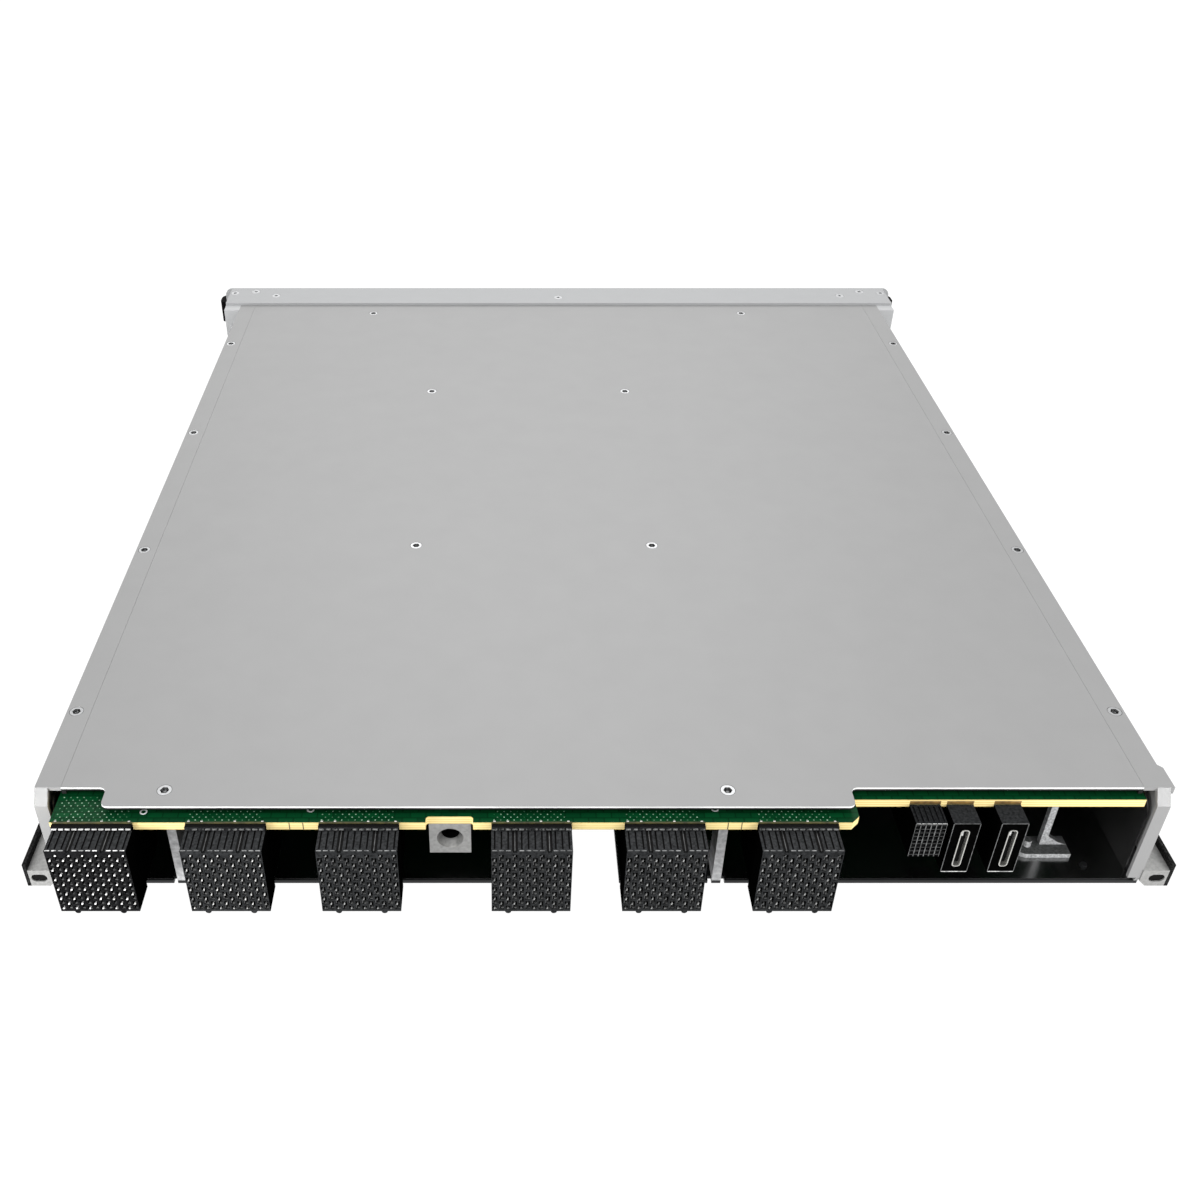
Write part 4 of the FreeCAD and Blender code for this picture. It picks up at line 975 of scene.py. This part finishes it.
@dataclass
class PowerConnector(OutlinedFace):
    """Tall black housing: painted highlight lines round its face, and in its slot a dark liner of painted
    shade and a hooked blade in the bright highlight colour.
    """

    node: str = ""
    height_mm: float = 24.9
    slot_width_mm: float = 3.2
    slot_height_mm: float = 18.6
    liner_side_gap_mm: float = 0.5
    liner_end_gap_mm: float = 0.9
    liner_depth_mm: float = 1.5
    liner_gauge_mm: float = 0.1
    hook_setback_mm: float = 0.3
    hook_share: float = 0.72

    def build(self) -> None:
        """Dress the housing and add its lines, its liner and the blade's hook."""
        dress(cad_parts[self.node], POWER_BLACK.material())
        low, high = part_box(self.node)
        maker = MeshMaker(self.node + "_lines")
        foot = high[2] - self.height_mm * MM
        self.outline(maker, Vector((low[0], low[1], foot)), Vector(high), 0, "wet")
        self.outline(maker, Vector((low[0], low[1], foot)), Vector(high), 1, "b")
        x = (low[0] + high[0]) / 2
        z = high[2] - self.height_mm * MM / 2
        reach = (self.slot_width_mm / 2 - self.liner_side_gap_mm) * MM
        rise = (self.slot_height_mm / 2 - self.liner_end_gap_mm) * MM
        liner = low[1] + self.liner_depth_mm * MM
        # The liner is painted shade deep in the slot.
        maker.block((x - reach, liner, z - rise),
                    (x + reach, liner + self.liner_gauge_mm * MM, z + rise), 2, "n")
        maker.block((x - reach, low[1] + self.hook_setback_mm * MM, z + self.hook_share * rise),
                    (x - reach / 3, liner, z + rise), 1, "n")
        lines = maker.finish([HIGHLIGHT_LINE_GREY.material(), HIGHLIGHT_LINE_BRIGHT.material(), CAVITY.material()], weld=False)
        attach(lines, "card")


@dataclass
class SignalConnector(OutlinedFace):
    """Small black connector: a painted-highlight grid over its cavities and a bright painted-highlight rim.
    """

    node: str = "signal_connector"
    columns: int = 6
    rows: int = 8
    height_mm: float = 16.7
    border_mm: float = 1.0
    bar_mm: float = 0.32
    thin_bar_mm: float = 0.1

    def build(self) -> None:
        """Dress the housing and add the grid and the rim."""
        dress(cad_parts[self.node], SIGNAL_BLACK.material())
        low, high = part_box(self.node)
        foot = high[2] - self.height_mm * MM
        maker = MeshMaker("signal_connector_grid")
        near, far = low[1] - self.proud_mm * MM, low[1]
        half = self.bar_mm * MM / 2
        for index in range(self.columns + 1):
            x = low[0] + index * (high[0] - low[0]) / self.columns
            maker.block((max(x - half, low[0]), near, foot), (min(x + half, high[0]), far, high[2]), 0, "n")
        half = self.thin_bar_mm * MM / 2
        row_pitch_mm = (self.height_mm - 2 * self.border_mm) / self.rows
        for index in range(self.rows + 1):
            z = foot + (self.border_mm + index * row_pitch_mm) * MM
            maker.block((low[0], near, z - half), (high[0], far, z + half), 0, "n")
        self.outline(maker, Vector((low[0], low[1], foot)), Vector(high), 1, "t")
        grid = maker.finish([HIGHLIGHT_LINE_GREY.material(), HIGHLIGHT_LINE_BRIGHT.material()], weld=False)
        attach(grid, "card")


# ---------------------------------------------------------------- guide parts
@dataclass
class RailSlots:
    """The unlit depth of the alignment slot in each guide rail's rear end."""

    inset_mm: float = 3.8
    rise_mm: float = 4.2
    width_mm: float = 6.0
    height_mm: float = 3.8
    fit_mm: float = 0.05
    recess_mm: float = 0.5
    end_steps: int = 8

    def build(self) -> None:
        """Add one dark lining in each slot."""
        maker = MeshMaker("rail_slot_linings")
        radius = (self.height_mm / 2 - self.fit_mm) * MM
        half = (self.width_mm - self.height_mm) / 2 * MM
        for side, corner in (("left", 0), ("right", 1)):
            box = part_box(side + "_guide_rail")
            sign = 1 if corner else -1
            x = box[corner][0] - sign * self.inset_mm * MM
            y = box[0][1] + self.recess_mm * MM
            z = box[0][2] + self.rise_mm * MM
            outline = []
            for end, start_turn in ((1, 0.0), (-1, math.pi)):
                for step in range(self.end_steps + 1):
                    turn = math.pi * (step / self.end_steps - 0.5) + start_turn
                    outline.append((x + end * half + radius * math.cos(turn), z + radius * math.sin(turn)))
            maker.face([(px, y, pz) for px, pz in outline])
        linings = maker.finish([CAVITY.material()], weld=False)
        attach(linings, "card")


@dataclass
class GuideBore:
    """The dark wall of the guide socket's bore, behind its bright cone: painted shade in the bore."""

    radius_mm: float = 3.25
    cone_mm: float = 3.2
    end_gap_mm: float = 0.5
    sides: int = 24

    def build(self) -> None:
        """Add the wall as a thin inward-looking tube."""
        low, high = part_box("guide_socket")
        middle_x, middle_z = (low[0] + high[0]) / 2, (low[2] + high[2]) / 2
        near = low[1] + self.cone_mm * MM
        far = high[1] - self.end_gap_mm * MM
        radius = self.radius_mm * MM
        turns = [2 * math.pi * index / self.sides for index in range(self.sides + 1)]
        ring = [(middle_x + radius * math.cos(turn), middle_z + radius * math.sin(turn)) for turn in turns]
        maker = MeshMaker("guide_bore_wall")
        for (x0, z0), (x1, z1) in zip(ring, ring[1:]):
            maker.face([(x0, near, z0), (x1, near, z1), (x1, far, z1), (x0, far, z0)])
        wall = maker.finish([CAVITY.material()])
        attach(wall, "card")


# ---------------------------------------------------------------- film, cover edges and screw heads
@dataclass
class FilmWalls:
    """The insulating film where it turns up the side walls, painted a lighter grey there than on the floor:
    painted light by the way the walls face.
    """

    lit_wall_colour: str = "272727"

    def build(self) -> None:
        """Let the film's material show the painted wall light on faces that look sideways."""
        tree = BLACK_FILM.material().node_tree
        shader = tree.nodes["Principled BSDF"]
        sheet = shader.inputs["Base Color"].links[0].from_socket
        colour = add_node(tree, "ShaderNodeMix", {"data_type": "RGBA"},
                          {0: facing_mask(tree, Facing.SIDEWAYS), 6: sheet, 7: linear(self.lit_wall_colour)})
        tree.links.new(colour.outputs[2], shader.inputs["Base Color"])


@dataclass
class SheetEdges:
    """The cover's sheared edges: a burnished band, painted white as a highlight, over a torn band, painted
    black as the shadow under the edge.
    """

    split_mm: float = 0.75
    burnished_highlight_colour: str = "ffffff"
    torn_shadow_colour: str = "0b0b0b"

    def material(self) -> bpy.types.Material:
        """Plated sheet on its faces, and on its edges the two bands of the shear, painted as highlight and
        shadow.

        Returns:
            The material for the cover.
        """
        material = PLATED_SHEET.material().copy()
        material.name = "plated_sheet_sheared_edge_light"
        tree = material.node_tree
        shader = tree.nodes["Principled BSDF"]
        sheet = shader.inputs["Base Color"].links[0].from_socket
        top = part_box("top_cover")[1][2]
        geometry = add_node(tree, "ShaderNodeNewGeometry")
        height = add_node(tree, "ShaderNodeSeparateXYZ", inputs={0: geometry.outputs["Position"]})
        is_high = add_node(tree, "ShaderNodeMath", {"operation": "GREATER_THAN"},
                           {0: height.outputs["Z"], 1: top - self.split_mm * MM})
        band = add_node(tree, "ShaderNodeMix", {"data_type": "RGBA"},
                        {0: is_high.outputs[0], 6: linear(self.torn_shadow_colour),
                         7: linear(self.burnished_highlight_colour)})
        colour = add_node(tree, "ShaderNodeMix", {"data_type": "RGBA"},
                          {0: facing_mask(tree, Facing.UPRIGHT), 6: sheet, 7: band.outputs[2]})
        tree.links.new(colour.outputs[2], shader.inputs["Base Color"])
        return material

    def build(self) -> None:
        """Put the material on the cover."""
        dress(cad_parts["top_cover"], self.material())


@dataclass
class ScrewHeads:
    """Painted shade: shadow gaps round the cover's screw heads, and the shaded edge and wall of each drive
    recess.
    """

    screw_nodes: tuple[str, ...] = ("cover_screws", "strip_screws")
    head_mm: float = 2.6
    gap_mm: float = 0.22
    recess_mm: float = 1.2
    edge_mm: float = 0.45
    lift_mm: float = 0.015
    floor_mm: float = 0.8
    sink_mm: float = 0.4
    head_sides: int = 24
    drive_sides: int = 6

    def heads(self, node: str) -> Iterator[tuple[float, float, float]]:
        """Find the middle of each screw head.

        Args:
            node: Name of the CAD node that holds the screws.

        Yields:
            The middle of each separate screw's top, in metres.
        """
        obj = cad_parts[node]
        mesh = bmesh.new()
        mesh.from_mesh(obj.data)
        bmesh.ops.remove_doubles(mesh, verts=mesh.verts, dist=WELD)
        waiting = set(mesh.verts)
        while waiting:
            first = waiting.pop()
            piece, queue = [first], [first]
            while queue:
                for edge in queue.pop().link_edges:
                    for vertex in edge.verts:
                        if vertex in waiting:
                            waiting.remove(vertex)
                            piece.append(vertex)
                            queue.append(vertex)
            places = [obj.matrix_world @ vertex.co for vertex in piece]
            xs, ys, zs = ([place[axis] for place in places] for axis in range(3))
            yield (min(xs) + max(xs)) / 2, (min(ys) + max(ys)) / 2, max(zs)
        mesh.free()

    def build(self) -> None:
        """Add the ring round every head, and the edge and the wall of every recess."""
        maker = MeshMaker("screw_shadow_rings")
        head, recess = self.head_mm * MM, self.recess_mm * MM
        for node in self.screw_nodes:
            for x, y, z in sorted(self.heads(node)):
                place = (x, y, z + self.lift_mm * MM)
                maker.disc(place, head + self.gap_mm * MM, head, self.head_sides)
                maker.disc(place, recess + self.edge_mm * MM, recess, self.drive_sides)
                maker.disc((x, y, z - self.sink_mm * MM), recess, self.floor_mm * MM, self.drive_sides)
        rings = maker.finish([CAVITY.material()], weld=False)
        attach(rings, "card")


# ---------------------------------------------------------------- the whole card
def dress_nodes() -> None:
    """Put its finish on each CAD node that no class of its own dresses."""
    for name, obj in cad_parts.items():
        finish = node_finish(name)
        if finish is not None:
            dress(obj, finish.material())
            log.info("%s: %s", name, finish.name)


def fabric_connectors() -> list[FabricConnector]:
    """Describe the fabric connectors from left to right.

    The first one's contacts catch the light; the second one's are half as bright.

    Returns:
        The connectors, not yet built.
    """
    names = sorted(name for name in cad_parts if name.startswith("fabric_connector"))
    first = FabricConnector(names[0], PAINTED_HIGHLIGHT_WHITE, RIM_HIGHLIGHT_BRIGHT, HOUSING_DARK, PAINTED_HIGHLIGHT_WHITE, DARK_SHIELD,
                            tip_width_mm=0.68, tip_height_mm=0.72)
    second = FabricConnector(names[1], TIP_HALF_HIGHLIGHT, RIM_HIGHLIGHT_GREY, HOUSING_GREY, CLIP_METAL, SHIELD)
    others = [FabricConnector(name, DIM_TIP, RIM_HIGHLIGHT_GREY, HOUSING_GREY, CLIP_METAL, SHIELD) for name in names[2:]]
    return [first, second, *others]


def main() -> None:
    """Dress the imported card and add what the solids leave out."""
    logging.basicConfig(level=logging.INFO, format="%(message)s")
    Studio().build()
    dress_nodes()
    connectors = fabric_connectors()
    Board().build([connector.node for connector in connectors],
                  ["signal_connector", "power_connector_1", "power_connector_2"])
    for connector in connectors:
        connector.build()
    SignalConnector().build()
    for number in (1, 2):
        PowerConnector(node=f"power_connector_{number}").build()
    RailSlots().build()
    GuideBore().build()
    FilmWalls().build()
    SheetEdges().build()
    ScrewHeads().build()


if __name__ == "__main__":
    main()
